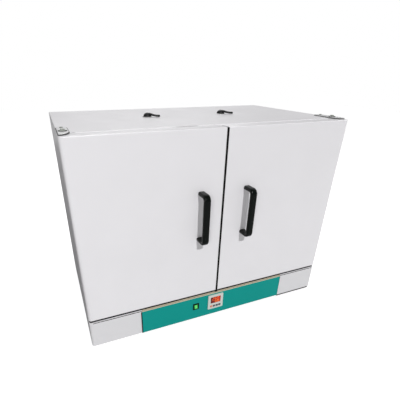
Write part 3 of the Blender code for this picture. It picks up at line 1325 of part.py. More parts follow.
def make_finishes():
    return {
        "white_paint": surface("white_paint", (0.78, 0.77, 0.79), 0.28),
        "teal_paint": surface("teal_paint", (0.010, 0.300, 0.260), 0.35),
        "stainless": surface("stainless", (0.62, 0.62, 0.60), 0.32, 1.0),
        "zinc": surface("zinc", (0.52, 0.54, 0.52), 0.38, 1.0),
        "wool": surface("wool", (0.62, 0.56, 0.40), 0.95),
        "silicone": surface("silicone", (0.16, 0.16, 0.17), 0.70),
        "black_plastic": surface("black_plastic", (0.012, 0.013, 0.013), 0.30),
        "rubber": surface("rubber", (0.03, 0.03, 0.03), 0.85),
        "grey_plastic": surface("grey_plastic", (0.62, 0.66, 0.64), 0.45),
        "dark_plastic": surface("dark_plastic", (0.10, 0.13, 0.15), 0.50),
        "red_window": surface("red_window", (0.60, 0.05, 0.02), 0.10, glow=0.4),
        "green_lamp": surface("green_lamp", (0.04, 0.75, 0.12), 0.25, glow=0.8),
        "aluminium": surface("aluminium", (0.70, 0.70, 0.70), 0.45, 1.0),
        "motor_grey": surface("motor_grey", (0.20, 0.21, 0.22), 0.50, 0.5),
        "heater_steel": surface("heater_steel", (0.25, 0.21, 0.18), 0.45, 1.0),
    }


def build_oven():
    clear_scene()
    finishes = make_finishes()
    make_outer_shell(finishes["white_paint"])
    make_back_panel(finishes["white_paint"])
    make_front_frame(finishes["stainless"])
    make_chamber_liner(finishes["stainless"])
    make_cabinet_insulation(finishes["wool"])
    make_base_housing(finishes["white_paint"])
    make_base_floor(finishes["aluminium"])
    make_control_panel(finishes["teal_paint"])
    make_sill_trim(finishes["stainless"])
    make_feet(finishes["rubber"])
    for side in SIDE_NAMES:
        make_door(side, finishes)
        make_upper_hinge(side, finishes)
        make_hinge_bolt(side, finishes["zinc"])
        make_hinge_screw(side, finishes["zinc"])
        make_lower_hinge(side, finishes)
    for name in VENT_PLACES:
        make_vent_pipe(name, finishes["stainless"])
        make_vent_damper(name, finishes["black_plastic"])
    make_controller(finishes)
    make_switch(finishes)
    motor_front = make_fan_motor(finishes["motor_grey"])
    make_fan(motor_front, finishes)
    make_heater(finishes["heater_steel"])
    make_air_baffle(finishes["stainless"])
    make_temperature_probe(finishes["stainless"])
    make_shelf_racks(finishes["stainless"])
    make_shelves(finishes["stainless"])
    make_power_inlet(finishes["black_plastic"])
    make_power_relay(finishes["aluminium"])


build_oven()
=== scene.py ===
import math

import bmesh
import bpy
import numpy as np
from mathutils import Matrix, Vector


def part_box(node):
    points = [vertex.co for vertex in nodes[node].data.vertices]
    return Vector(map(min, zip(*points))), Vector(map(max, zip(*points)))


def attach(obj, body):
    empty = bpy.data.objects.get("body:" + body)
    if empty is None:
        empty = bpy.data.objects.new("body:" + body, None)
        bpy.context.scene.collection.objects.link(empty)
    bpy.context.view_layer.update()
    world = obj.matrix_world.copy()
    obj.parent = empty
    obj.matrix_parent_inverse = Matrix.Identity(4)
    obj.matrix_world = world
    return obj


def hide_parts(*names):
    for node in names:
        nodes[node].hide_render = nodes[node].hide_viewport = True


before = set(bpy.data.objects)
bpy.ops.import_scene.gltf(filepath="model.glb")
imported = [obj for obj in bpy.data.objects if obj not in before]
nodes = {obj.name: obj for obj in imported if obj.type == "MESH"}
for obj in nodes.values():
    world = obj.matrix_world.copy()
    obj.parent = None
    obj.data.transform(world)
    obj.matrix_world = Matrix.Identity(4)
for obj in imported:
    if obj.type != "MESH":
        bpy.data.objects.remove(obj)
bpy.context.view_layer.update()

scene = bpy.context.scene
SIDES = {-1: "left", 1: "right"}


# Camera: one wide lens at the front left, a little above the oven.
# Its place, turn and shift give the photographed angle and framing.
CAMERA_PLACE = (-0.5677, -1.24329, 0.96456)
CAMERA_TURN_DEGREES = (62.3361, -0.36, -22.2126)
CAMERA_LENS_MM = 28.289
CAMERA_SHIFT = (0.0531, 0.09275)

camera_data = bpy.data.cameras.new("camera")
camera_data.lens = CAMERA_LENS_MM
camera_data.sensor_width = 36.0
camera_data.shift_x, camera_data.shift_y = CAMERA_SHIFT
camera = bpy.data.objects.new("camera", camera_data)
camera.location = CAMERA_PLACE
camera.rotation_euler = [math.radians(turn) for turn in CAMERA_TURN_DEGREES]
scene.collection.objects.link(camera)
scene.camera = camera
scene.view_settings.view_transform = "Standard"


# Light: a hard key from the front, above and slightly from the left, which draws the handles' shadows down
# the doors, a softer lamp from the front left, and wide soft panels over, behind and right of the oven.
KEY_TILT_DEGREES, KEY_TURN_DEGREES, KEY_WIDTH_DEGREES = 47.0, -3.5, 2.5
KEY_STRENGTH = 2.2
# Each soft panel: its place, the point it faces, its size and its power
SOFT_PANELS = {
    "fill_lamp": ((-1.6, -2.3, 1.3), (-0.2, -0.3, 0.45), (0.5, 0.5), 13.0),
    "overhead_panel": ((-0.6, 0.6, 2.9), (0.0, 0.1, 0.8), (2.0, 1.2), 5.0),
    "rear_panel": ((0.6, 2.8, 2.9), (0.0, 0.3, 0.5), (2.2, 0.8), 54.0),
    "right_panel": ((3.0, -0.6, 1.5), (0.4, 0.0, 0.5), (1.6, 1.2), 24.0),
}

key_data = bpy.data.lights.new("key_lamp", "SUN")
key_data.energy = KEY_STRENGTH
key_data.angle = math.radians(KEY_WIDTH_DEGREES)
key_lamp = bpy.data.objects.new("key_lamp", key_data)
key_lamp.rotation_euler = (math.radians(KEY_TILT_DEGREES), 0.0, math.radians(KEY_TURN_DEGREES))
scene.collection.objects.link(key_lamp)
for panel_name, (place, target, (width, height), power) in SOFT_PANELS.items():
    panel_data = bpy.data.lights.new(panel_name, "AREA")
    panel_data.shape = "RECTANGLE"
    panel_data.size, panel_data.size_y = width, height
    panel_data.energy = power
    panel = bpy.data.objects.new(panel_name, panel_data)
    panel.location = place
    way = np.array(target) - place
    panel.rotation_euler = (math.atan2(math.hypot(way[0], way[1]), -way[2]), 0.0, math.atan2(-way[0], way[1]))
    panel.visible_camera = False
    scene.collection.objects.link(panel)


# World and floor: plain white to the eye, and only pale as a source of light. The floor keeps the shadow.
# A black flag on it, seen in mirrors alone, draws the dark line down the oven's left side.
WORLD_LIGHT = 0.27
FLOOR_REACH, FLOOR_ALBEDO, FLOOR_GLOW = 9.0, 0.55, 0.60
FLAG_HEIGHT, FLAG_SHADE = 0.002, 0.004
FLAG_OUTLINE = [(-1.3, -0.5), (-0.535, -0.5), (-0.535, 0.4), (-0.2, 0.4), (-0.2, 4.0), (-1.3, 4.0)]


def worked(tree, operation, *values):
    """Result of a sum in a finish: each value is a number or another step's output."""
    step = tree.nodes.new("ShaderNodeMath")
    step.operation = operation
    for place, value in enumerate(values):
        if isinstance(value, bpy.types.NodeSocket):
            tree.links.new(value, step.inputs[place])
        else:
            step.inputs[place].default_value = value
    return step.outputs[0]


def shows_plain(tree):
    """Value that is 1 where a camera or glass ray meets the backdrop, and 0 for the light and mirrors."""
    path = tree.nodes.new("ShaderNodeLightPath")
    return worked(tree, "MAXIMUM", path.outputs["Is Camera Ray"], path.outputs["Is Transmission Ray"])


def studio_sheet(name, outline, height, shade):
    """Flat matt sheet in the studio, with its finish's tree and shader."""
    mesh = bpy.data.meshes.new(name)
    mesh.from_pydata([(x, y, height) for x, y in outline], [], [list(range(len(outline)))])
    sheet = bpy.data.objects.new(name, mesh)
    scene.collection.objects.link(sheet)
    finish = bpy.data.materials.new(f"{name}_paint")
    finish.use_nodes = True
    shader = finish.node_tree.nodes["Principled BSDF"]
    shader.inputs["Base Color"].default_value = (shade, shade, shade, 1.0)
    shader.inputs["Roughness"].default_value = 1.0
    shader.inputs["Specular IOR Level"].default_value = 0.0
    mesh.materials.append(finish)
    return sheet, finish.node_tree, shader


world = bpy.data.worlds.new("studio")
scene.world = world
world.use_nodes = True
world_tree = world.node_tree
world_level = world_tree.nodes.new("ShaderNodeMapRange")
world_level.inputs["To Min"].default_value = WORLD_LIGHT
world_level.inputs["To Max"].default_value = 1.0
world_tree.links.new(shows_plain(world_tree), world_level.inputs["Value"])
world_tree.nodes["Background"].inputs["Color"].default_value = (1.0, 1.0, 1.0, 1.0)
world_tree.links.new(world_level.outputs["Result"], world_tree.nodes["Background"].inputs["Strength"])

floor_outline = [(-FLOOR_REACH, -FLOOR_REACH), (FLOOR_REACH, -FLOOR_REACH)]
floor_outline += [(FLOOR_REACH, FLOOR_REACH), (-FLOOR_REACH, FLOOR_REACH)]
floor_tree, floor_shader = studio_sheet("floor", floor_outline, 0.0, FLOOR_ALBEDO)[1:]
floor_shader.inputs["Emission Color"].default_value = (1.0, 1.0, 1.0, 1.0)
floor_glow = worked(floor_tree, "MULTIPLY", shows_plain(floor_tree), FLOOR_GLOW)
floor_tree.links.new(floor_glow, floor_shader.inputs["Emission Strength"])
flag = studio_sheet("flag", FLAG_OUTLINE, FLAG_HEIGHT, FLAG_SHADE)[0]
flag.visible_camera = flag.visible_diffuse = flag.visible_shadow = flag.visible_transmission = False


# Base: a low sheet-steel housing, powder coated white, as wide and deep as the whole oven.
# It is folded from one sheet, with its bottom flange turned in and a floor plate lying on it.
def noise(tree, scale, detail=3.0, stretch=(1.0, 1.0, 1.0), roughness=0.5):
    """Noise value read at object coordinates, which a stretch squeezes along each axis."""
    coordinates = tree.nodes.new("ShaderNodeTexCoord")
    mapping = tree.nodes.new("ShaderNodeMapping")
    mapping.inputs["Scale"].default_value = stretch
    grain = tree.nodes.new("ShaderNodeTexNoise")
    grain.inputs["Scale"].default_value = scale
    grain.inputs["Detail"].default_value = detail
    grain.inputs["Roughness"].default_value = roughness
    tree.links.new(coordinates.outputs["Object"], mapping.inputs["Vector"])
    tree.links.new(mapping.outputs["Vector"], grain.inputs["Vector"])
    return grain.outputs["Fac"]


def spread(tree, value, low, high, start=0.3, end=0.7):
    """A value of a noise, drawn out to lie between low and high."""
    ranged = tree.nodes.new("ShaderNodeMapRange")
    ranged.inputs["From Min"].default_value = start
    ranged.inputs["From Max"].default_value = end
    ranged.inputs["To Min"].default_value = low
    ranged.inputs["To Max"].default_value = high
    tree.links.new(value, ranged.inputs["Value"])
    return ranged.outputs["Result"]


def clouded(tree, shader, colour, amount, *grain):
    """Base colour with clouds from a shade darker to a shade lighter. The grain is the noise's settings."""
    mix = tree.nodes.new("ShaderNodeMix")
    mix.data_type = "RGBA"
    for socket, share in (("A", 1.0 - amount), ("B", 1.0 + amount)):
        mix.inputs[socket].default_value = (*[min(1.0, part * share) for part in colour], 1.0)
    tree.links.new(spread(tree, noise(tree, *grain), 0.0, 1.0), mix.inputs["Factor"])
    tree.links.new(mix.outputs["Result"], shader.inputs["Base Color"])


def glossed(tree, shader, value, low, high):
    """Roughness that a noise value takes from low to high."""
    tree.links.new(spread(tree, value, low, high), shader.inputs["Roughness"])


def relief(tree, *layers):
    """Bump from several heights in metres, each a noise value with the height it stands for."""
    normal = None
    for value, height in layers:
        bump = tree.nodes.new("ShaderNodeBump")
        bump.inputs["Strength"].default_value = 1.0
        bump.inputs["Distance"].default_value = height
        tree.links.new(value, bump.inputs["Height"])
        if normal is not None:
            tree.links.new(normal, bump.inputs["Normal"])
        normal = bump.outputs["Normal"]
    return normal


def new_finish(name, metallic=0.0, specular=0.5):
    """Empty material with its shader, and the values that are the same all over."""
    material = bpy.data.materials.new(name)
    material.use_nodes = True
    shader = material.node_tree.nodes["Principled BSDF"]
    shader.inputs["Metallic"].default_value = metallic
    shader.inputs["Specular IOR Level"].default_value = specular
    return material, material.node_tree, shader


def painted(name, colour, roughness, peel=0.000012, specular=0.5):
    """Sprayed paint: faint clouds of tone, an orange-peel skin, and a broad wave of the sheet under it."""
    material, tree, shader = new_finish(name, specular=specular)
    clouded(tree, shader, colour, 0.012, 7.0, 4.0)
    glossed(tree, shader, noise(tree, 11.0, 4.0), roughness - 0.02, roughness + 0.03)
    skin = relief(tree, (noise(tree, 3.2, 0.0), 0.0007), (noise(tree, 420.0, 2.0), peel))
    tree.links.new(skin, shader.inputs["Normal"])
    return material


WHITE = (0.705, 0.695, 0.715)
# The base's white is a shade darker than the doors': painted shade for the weaker light low on the oven.
BASE_SHADED_WHITE = (0.625, 0.620, 0.635)
white_paint = painted("white_paint", WHITE, 0.30)
base_shaded_paint = painted("base_shaded_paint", BASE_SHADED_WHITE, 0.32)


def dress(node, material, edge=0.0004):
    """A CAD node keeps its shape, takes a finish, and has its sharp edges eased by a small bevel."""
    thing = nodes[node]
    for place in range(len(thing.material_slots)):
        thing.material_slots[place].material = material
    if edge:
        merge = thing.modifiers.new("merge", "WELD")
        merge.merge_threshold = 0.00001
        ease = thing.modifiers.new("ease", "BEVEL")
        ease.limit_method = "ANGLE"
        ease.angle_limit = math.radians(40)
        ease.width = edge
        ease.segments = 2
        ease.use_clamp_overlap = True


dress("base_housing", base_shaded_paint, 0.0005)


def milled(name, colour, roughness, grain=900.0, metallic=1.0):
    """Rolled metal: clouds of tone, and a short grain that runs along X on every face."""
    material, tree, shader = new_finish(name, metallic=metallic)
    clouded(tree, shader, colour, 0.05, 9.0, 4.0)
    lines = noise(tree, grain, 2.0, (0.02, 1.0, 1.0))
    glossed(tree, shader, lines, roughness - 0.05, roughness + 0.08)
    tree.links.new(relief(tree, (lines, 0.000004)), shader.inputs["Normal"])
    return material


plain_aluminium = milled("plain_aluminium", (0.70, 0.70, 0.70), 0.42, 500.0)
dress("base_floor", plain_aluminium)


# Feet: four turned rubber pucks under the base's flange, each with a ribbed side and a rounded tread.
FOOT_RADIUS, FOOT_GROOVE_RADIUS, FOOT_TREAD_RADIUS, FOOT_RIM_RADIUS = 0.0200, 0.0194, 0.0170, 0.0193
FOOT_ROUND, FOOT_RIM_LOW, FOOT_TOP = 0.003, 0.0110, 0.0117
FOOT_GROOVES = (0.0042, 0.0070)
FOOT_SIDES = 48


def middle_of(low, high):
    """Middle of a box."""
    return tuple((least + most) / 2 for least, most in zip(low, high))


def turned(profile, steps, centre=(0.0, 0.0, 0.0), axis="Z"):
    """Rings of a turned shape: each (radius, height) of the profile goes round an axis through the centre."""
    profile = np.asarray(profile, float)
    angle = np.linspace(0.0, 2.0 * np.pi, steps, endpoint=False)
    across = profile[:, :1] * np.cos(angle)
    up = profile[:, :1] * np.sin(angle)
    along = np.broadcast_to(profile[:, 1:2], across.shape)
    order = {"X": (along, across, up), "Y": (across, along, up), "Z": (across, up, along)}[axis]
    return np.stack(order, axis=-1) + np.asarray(centre, float)


def skinned(rings, loop=False, ends=True):
    """Points and faces of the skin that joins each closed ring to the next, facing outwards."""
    rings = np.asarray(rings, float)
    count, size = rings.shape[:2]
    row = np.arange(count if loop else count - 1)[:, None]
    column = np.arange(size)[None, :]
    after_row, after_column = (row + 1) % count, (column + 1) % size
    corners = (
        row * size + column,
        row * size + after_column,
        after_row * size + after_column,
        after_row * size + column,
    )
    faces = np.stack(corners, axis=-1).reshape(-1, 4).tolist()
    if ends and not loop:
        faces.append(list(range(size - 1, -1, -1)))
        faces.append(list(range((count - 1) * size, count * size)))
    return rings.reshape(-1, 3), faces


def piece(name, parts, material, body, stands_for=(), smooth=40):
    """One scene piece from a list of skins: merged points, outward faces, rounded shading up to an angle."""
    points, faces, start = [], [], 0
    for part_points, part_faces in parts:
        points.append(part_points)
        faces += [[corner + start for corner in face] for face in part_faces]
        start += len(part_points)
    mesh = bpy.data.meshes.new(name)
    mesh.from_pydata(np.concatenate(points).tolist(), [], faces)
    shape = bmesh.new()
    shape.from_mesh(mesh)
    bmesh.ops.remove_doubles(shape, verts=shape.verts, dist=0.000001)
    bmesh.ops.dissolve_degenerate(shape, edges=shape.edges, dist=0.0000005)
    bmesh.ops.recalc_face_normals(shape, faces=shape.faces)
    shape.to_mesh(mesh)
    shape.free()
    mesh.shade_smooth()
    mesh.set_sharp_from_angle(angle=math.radians(smooth))
    mesh.materials.append(material)
    thing = bpy.data.objects.new(name, mesh)
    scene.collection.objects.link(thing)
    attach(thing, body)
    if stands_for:
        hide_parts(*stands_for)
    return thing


def moulded(name, colour, roughness, grain, depth, specular=0.5, tone=0.06):
    """Moulded plastic or rubber: a fine stippled skin, with faint handling marks in its gloss."""
    material, tree, shader = new_finish(name, specular=specular)
    clouded(tree, shader, colour, tone, 30.0, 4.0)
    glossed(tree, shader, noise(tree, 55.0, 5.0), roughness - 0.06, roughness + 0.08)
    tree.links.new(relief(tree, (noise(tree, grain, 2.0), depth)), shader.inputs["Normal"])
    return material


black_rubber = moulded("black_rubber", (0.030, 0.030, 0.030), 0.75, 900.0, 0.00004, 0.3, 0.15)
foot_profile = [(0.0, 0.0), (FOOT_TREAD_RADIUS, 0.0)]
for turn in np.linspace(0.15, 1.5, 6):
    foot_profile.append((FOOT_TREAD_RADIUS + FOOT_ROUND * math.sin(turn), FOOT_ROUND * (1 - math.cos(turn))))
for groove in FOOT_GROOVES:
    foot_profile += [(FOOT_RADIUS, groove), (FOOT_GROOVE_RADIUS, groove + 0.0005)]
    foot_profile += [(FOOT_GROOVE_RADIUS, groove + 0.0011), (FOOT_RADIUS, groove + 0.0016)]
foot_profile += [(FOOT_RADIUS, FOOT_RIM_LOW), (FOOT_RIM_RADIUS, FOOT_TOP), (0.0, FOOT_TOP)]
for row in ("front", "rear"):
    for side_name in SIDES.values():
        node = f"{row}_{side_name}_foot"
        x, y, _ = middle_of(*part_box(node))
        rings = turned(foot_profile, FOOT_SIDES, (x, y, 0.0))
        piece(f"{node}_rubber", [skinned(rings, ends=False)], black_rubber, "cabinet", [node])


# Control panel: a teal painted plate on the middle of the base's front,
# with the controller and the power switch let into it.
TEAL = (0.0040, 0.258, 0.228)
teal_paint = painted("teal_paint", TEAL, 0.38, 0.000010, 0.08)
dress("control_panel", teal_paint, 0.0005)


# Cabinet casing: one white sheet folded over both sides and the top, closed by a rear panel,
# and a stainless frame of brushed sheet round its mouth.
def brushed(name, colour, roughness, depth=0.000006):
    """Brushed stainless sheet: long fine lines along the sheet, soft clouds, and a faint wave in it."""
    material, tree, shader = new_finish(name, metallic=1.0)
    clouded(tree, shader, colour, 0.05, 5.0, 4.0)
    upright = noise(tree, 1500.0, 3.0, (0.004, 0.004, 1.0))
    lying = noise(tree, 1500.0, 3.0, (0.004, 1.0, 0.004))
    shape = tree.nodes.new("ShaderNodeNewGeometry")
    parts = tree.nodes.new("ShaderNodeSeparateXYZ")
    tree.links.new(shape.outputs["Normal"], parts.inputs["Vector"])
    lines = tree.nodes.new("ShaderNodeMix")
    tree.links.new(worked(tree, "ABSOLUTE", parts.outputs["Z"]), lines.inputs["Factor"])
    tree.links.new(upright, lines.inputs["A"])
    tree.links.new(lying, lines.inputs["B"])
    value = lines.outputs["Result"]
    glossed(tree, shader, value, roughness - 0.06, roughness + 0.10)
    skin = relief(tree, (noise(tree, 4.0, 1.0), 0.0010), (value, depth))
    tree.links.new(skin, shader.inputs["Normal"])
    return material


stainless = brushed("stainless", (0.60, 0.60, 0.585), 0.30)
dress("outer_shell", white_paint, 0.0004)
dress("back_panel", white_paint, 0.0004)
dress("front_frame", stainless, 0.0003)


# Ledge under the doors: a thin plate on the base, white at both ends and beige above the control panel, over
# a joint and a lip. Black strips are painted shade: in the joint, on the ledge under the doors, at the
# panel's ends and along the bottom of the base's right part.
LEDGE_SHEET, JOINT_HEIGHT, WHITE_JOINT_HEIGHT = 0.0012, 0.0013, 0.0036
DOOR_SHADE_SETBACK, DOOR_SHADE_HEIGHT, DOOR_SHADE_CORNER, DOOR_SHADE_RIM = 0.0050, 0.0075, 0.0085, 0.0010
BASE_CORNER, SMALL_CORNER, END_GAP = 0.010, 0.0004, 0.0006
LEFT_EDGE_WIDTH, RIGHT_EDGE_WIDTH = 0.0042, 0.0008
BASE_SHADOW_LOW, BASE_SHADOW_HIGH, BASE_SHADOW_DEPTH = 0.0060, 0.0117, 0.010


def rounded(low, high, radii, steps=6):
    """Closed outline of a rectangle whose four corners, from low left round, are quarter circles."""
    signs = np.array([[-1, -1], [1, -1], [1, 1], [-1, 1]], float)
    radii = np.broadcast_to(np.asarray(radii, float), 4)[:, None]
    corner = np.where(signs < 0, np.asarray(low, float), np.asarray(high, float))
    centre = corner - signs * radii
    turn = np.radians(180.0 + 90.0 * np.arange(4)[:, None] + np.linspace(0.0, 90.0, steps + 1))
    arms = np.stack([np.cos(turn), np.sin(turn)], axis=-1)
    return (centre[:, None] + radii[:, None] * arms).reshape(-1, 2)


def raised(outline, depth, axis):
    """An outline's points in space, at one place along the axis."""
    along = np.full(len(outline), float(depth))
    order = {
        "X": (along, outline[:, 0], outline[:, 1]),
        "Y": (outline[:, 0], along, outline[:, 1]),
        "Z": (outline[:, 0], outline[:, 1], along),
    }
    return np.stack(order[axis], axis=-1)


def plate(low, high, axis, corners=0.0003, near=0.0003, far=0.0003, steps=4, corner_steps=5):
    """Rings of a plate from its low to its high face along an axis, with rounded corners and rounded rims.

    At a turn t of the rim the outline stands in by radius * (1 - sin t), radius * (1 - cos t) from the face.
    """
    place = "XYZ".index(axis)
    keep = [number for number in range(3) if number != place]
    flat_low, flat_high = np.asarray(low, float)[keep], np.asarray(high, float)[keep]
    flat_support = min(0.001, 0.2 * float(np.min(flat_high - flat_low)))
    turn = np.linspace(0.0, np.pi / 2, steps)
    levels = [(near + flat_support, low[place])]
    levels += [(near * (1 - math.sin(t)), low[place] + near * (1 - math.cos(t))) for t in turn]
    levels += [(far * (1 - math.sin(t)), high[place] - far * (1 - math.cos(t))) for t in turn[::-1]]
    levels += [(far + flat_support, high[place])]
    rings = []
    for inset, depth in levels:
        radii = np.maximum(np.asarray(corners, float) - inset, 0.00001)
        rings.append(raised(rounded(flat_low + inset, flat_high - inset, radii, corner_steps), depth, axis))
    return skinned(rings)


trim_steel = moulded("trim_steel", (0.52, 0.46, 0.34), 0.34, 1100.0, 0.000006, 0.4, 0.06)
trim_low, trim_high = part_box("sill_trim")
panel_low, panel_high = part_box("control_panel")
base_low, base_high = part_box("base_housing")
ledge_front, ledge_back = trim_low.y, trim_high.y
ledge_low, lip_high = trim_high.z - LEDGE_SHEET, trim_high.z - LEDGE_SHEET - JOINT_HEIGHT
lip_back = ledge_front + 0.001
ledge_top = trim_high.z
ledge = plate((panel_low.x, ledge_front, ledge_low), (panel_high.x, ledge_back, ledge_top), "Z", SMALL_CORNER)
lip = plate((panel_low.x, ledge_front, trim_low.z), (panel_high.x, lip_back, lip_high), "Y", SMALL_CORNER)
piece("sill_ledge", [ledge, lip], trim_steel, "cabinet", ["sill_trim"])
# Black foam, and the black of the strips that are painted shade.
black_foam_and_shade = moulded("black_foam_and_shade", (0.010, 0.009, 0.009), 0.85, 900.0, 0.00004, 0.1, 0.15)


def edging(low, high, round_off=0.0001):
    """Skin of a thin strip that faces the front."""
    return plate(low, high, "Y", round_off, round_off, round_off)


# The black strip in the joint over the lip is painted shade of the gap under the ledge.
joint_front, edge_front = ledge_front + 0.0002, panel_low.y + 0.0002
white_lip = ledge_low - WHITE_JOINT_HEIGHT
white_ledges = []
painted_shade_strips = [edging((panel_low.x, joint_front, lip_high), (panel_high.x, lip_back, ledge_low))]
for side in SIDES:
    inner = panel_low.x - END_GAP if side < 0 else panel_high.x + END_GAP
    low_x, high_x = sorted((inner, side * (base_high.x - END_GAP)))
    corners = [SMALL_CORNER] * 4
    corners[0 if side < 0 else 1] = BASE_CORNER
    white_ledges.append(plate((low_x, ledge_front, ledge_low), (high_x, ledge_back, ledge_top), "Z", corners))
    low_x, high_x = sorted((inner, trim_low.x if side < 0 else trim_high.x))
    painted_shade_strips.append(edging((low_x, joint_front, white_lip), (high_x, lip_back, ledge_low)))
    lip = plate((low_x, ledge_front, trim_low.z), (high_x, lip_back, white_lip), "Y", SMALL_CORNER)
    white_ledges.append(lip)
piece("white_ledges", white_ledges, white_paint, "cabinet")
# Black strip on the ledge behind its front edge: painted shade under the doors.
door_shade_low = (base_low.x + 0.0015, ledge_front + DOOR_SHADE_SETBACK, ledge_top)
door_shade_high = (base_high.x - 0.0015, ledge_back, ledge_top + DOOR_SHADE_HEIGHT)
door_shade_corners = (DOOR_SHADE_CORNER, DOOR_SHADE_CORNER, END_GAP, END_GAP)
painted_shade_strips.append(plate(door_shade_low, door_shade_high, "Z", door_shade_corners, 0.0002, DOOR_SHADE_RIM))
# Black strips at the control panel's ends: painted shade, wider at its left end.
for edge_x, width in ((panel_low.x, -LEFT_EDGE_WIDTH), (panel_high.x, RIGHT_EDGE_WIDTH)):
    low_x, high_x = sorted((edge_x, edge_x + width))
    painted_shade_strips.append(edging((low_x, edge_front, panel_low.z), (high_x, panel_high.y, panel_high.z)))
# Black strip low along the base's right part: painted shadow of the gap under the base.
base_shadow_low = (panel_high.x + 0.001, base_low.y, BASE_SHADOW_LOW)
base_shadow_high = (base_high.x - BASE_CORNER, base_low.y + BASE_SHADOW_DEPTH, BASE_SHADOW_HIGH)
painted_shade_strips.append(edging(base_shadow_low, base_shadow_high, 0.0003))
piece("painted_shade_edging", painted_shade_strips, black_foam_and_shade, "cabinet")


# Doors: deep pans pressed from white sheet, with a large radius down the outer edge,
# each closed at the back by a stainless plate with a raised field, and filled with mineral wool.
skin_low, skin_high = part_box("right_door_skin")
DOOR_FACE_Y, DOOR_BACK_Y = skin_low.y, skin_high.y
DOOR_LOW_Z, DOOR_HIGH_Z = skin_low.z, skin_high.z
DOOR_SPLIT_X, DOOR_OUTER_X = skin_low.x, skin_high.x
DOOR_EDGE_RADIUS, DOOR_SPLIT_RADIUS, DOOR_END_RADIUS = 0.014, 0.003, 0.0025
DOOR_SHEET = 0.0015
FACE_SUPPORT = 0.002

turns = np.linspace(0.0, np.pi / 2, 13)
door_radii = (DOOR_EDGE_RADIUS, DOOR_SPLIT_RADIUS, DOOR_END_RADIUS)
edge_depths = [radius * (1 - np.cos(turns)) for radius in door_radii]
door_depths = np.unique(np.round(np.concatenate(edge_depths), 6))


def stands_in(radius, depth):
    """How far a rounded edge stands in from the full size, at a depth behind the face."""
    short = max(radius - depth, 0.0)
    return radius - math.sqrt(radius**2 - short**2)


def door_rings(side, margin, back):
    """Rings of the pan from its face to its back rim: each side stands in as its own edge rounds."""
    low_x, high_x = sorted((side * DOOR_SPLIT_X, side * DOOR_OUTER_X))
    low_radius, high_radius = (DOOR_EDGE_RADIUS, DOOR_SPLIT_RADIUS)[:: -side]
    rings = []
    for depth, extra in [(0.0, FACE_SUPPORT), *[(depth, 0.0) for depth in door_depths], (back, 0.0)]:
        inward = margin + extra
        end = inward + stands_in(DOOR_END_RADIUS, depth)
        low = (low_x + inward + stands_in(low_radius, depth), DOOR_LOW_Z + end)
        high = (high_x - inward - stands_in(high_radius, depth), DOOR_HIGH_Z - end)
        rings.append(raised(rounded(low, high, 0.0012, 3), DOOR_FACE_Y + margin + depth, "Y"))
    return rings


def wool_finish(name, colour):
    """Mineral wool: a matt mass of short fibres in clumps."""
    material, tree, shader = new_finish(name, specular=0.1)
    clouded(tree, shader, colour, 0.25, 60.0, 6.0, (1.0, 1.0, 3.0))
    shader.inputs["Roughness"].default_value = 0.95
    fibres = relief(tree, (noise(tree, 60.0, 6.0), 0.002), (noise(tree, 700.0, 3.0), 0.0004))
    tree.links.new(fibres, shader.inputs["Normal"])
    return material


mineral_wool = wool_finish("mineral_wool", (0.62, 0.56, 0.40))
for node in ("left_door_insulation", "right_door_insulation", "cabinet_insulation"):
    dress(node, mineral_wool, 0.0)


def framed(levels, axis="Y"):
    """Skin of stacked rectangles: each level gives the four insets, the corner radius and the depth."""
    return skinned([raised(rounded(low, high, radius), depth, axis) for low, high, radius, depth in levels])


FIELD_INSET, FIELD_SLOPE, FIELD_RISE = 0.014, 0.006, 0.0025
PLATE_CORNER_RADIUS, PLATE_EASE = 0.001, 0.0002
SEAL_MIDDLE_WIDTH, SEAL_EDGE_WIDTH = 0.024, 0.014
for side, side_name in SIDES.items():
    body = f"{side_name}_door"
    depth = DOOR_BACK_Y - DOOR_FACE_Y
    outside = door_rings(side, 0.0, depth)
    inside = door_rings(side, DOOR_SHEET, depth - DOOR_SHEET)
    pan = skinned(outside + inside[::-1])
    piece(f"{body}_pan", [pan], white_paint, body, [f"{body}_skin"], 30)

    low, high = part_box(f"{body}_liner")
    seal_low, seal_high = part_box(f"{body}_seal")
    seal_left, seal_right = (SEAL_MIDDLE_WIDTH, SEAL_EDGE_WIDTH)[::side]
    inner_low = np.array([seal_low.x, seal_low.z]) + (seal_left, SEAL_EDGE_WIDTH)
    inner_high = np.array([seal_high.x, seal_high.z]) - (seal_right, SEAL_EDGE_WIDTH)
    edge_low, edge_high = np.array([low.x, low.z]), np.array([high.x, high.z])
    field_low, field_high = inner_low + FIELD_INSET, inner_high - FIELD_INSET
    levels = []
    for inset, level in (
        (0.001, low.y), (0.0, low.y + PLATE_EASE), (0.0, high.y - PLATE_EASE),
        (PLATE_EASE, high.y), (0.002, high.y),
    ):
        levels.append((edge_low + inset, edge_high - inset, PLATE_CORNER_RADIUS, level))
    for share in np.linspace(0.0, 1.0, 9):
        rise = FIELD_RISE * (0.5 - 0.5 * math.cos(math.pi * share))
        inset = FIELD_SLOPE * share
        if share == 0.0:
            levels.append((field_low - 0.002, field_high + 0.002, 0.014, high.y))
        levels.append((field_low + inset, field_high - inset, 0.012 - 0.4 * inset, high.y + rise))
    levels.append((field_low + 0.010, field_high - 0.010, 0.008, high.y + FIELD_RISE))
    piece(f"{body}_back_plate", [framed(levels)], stainless, body, [f"{body}_liner"], 30)


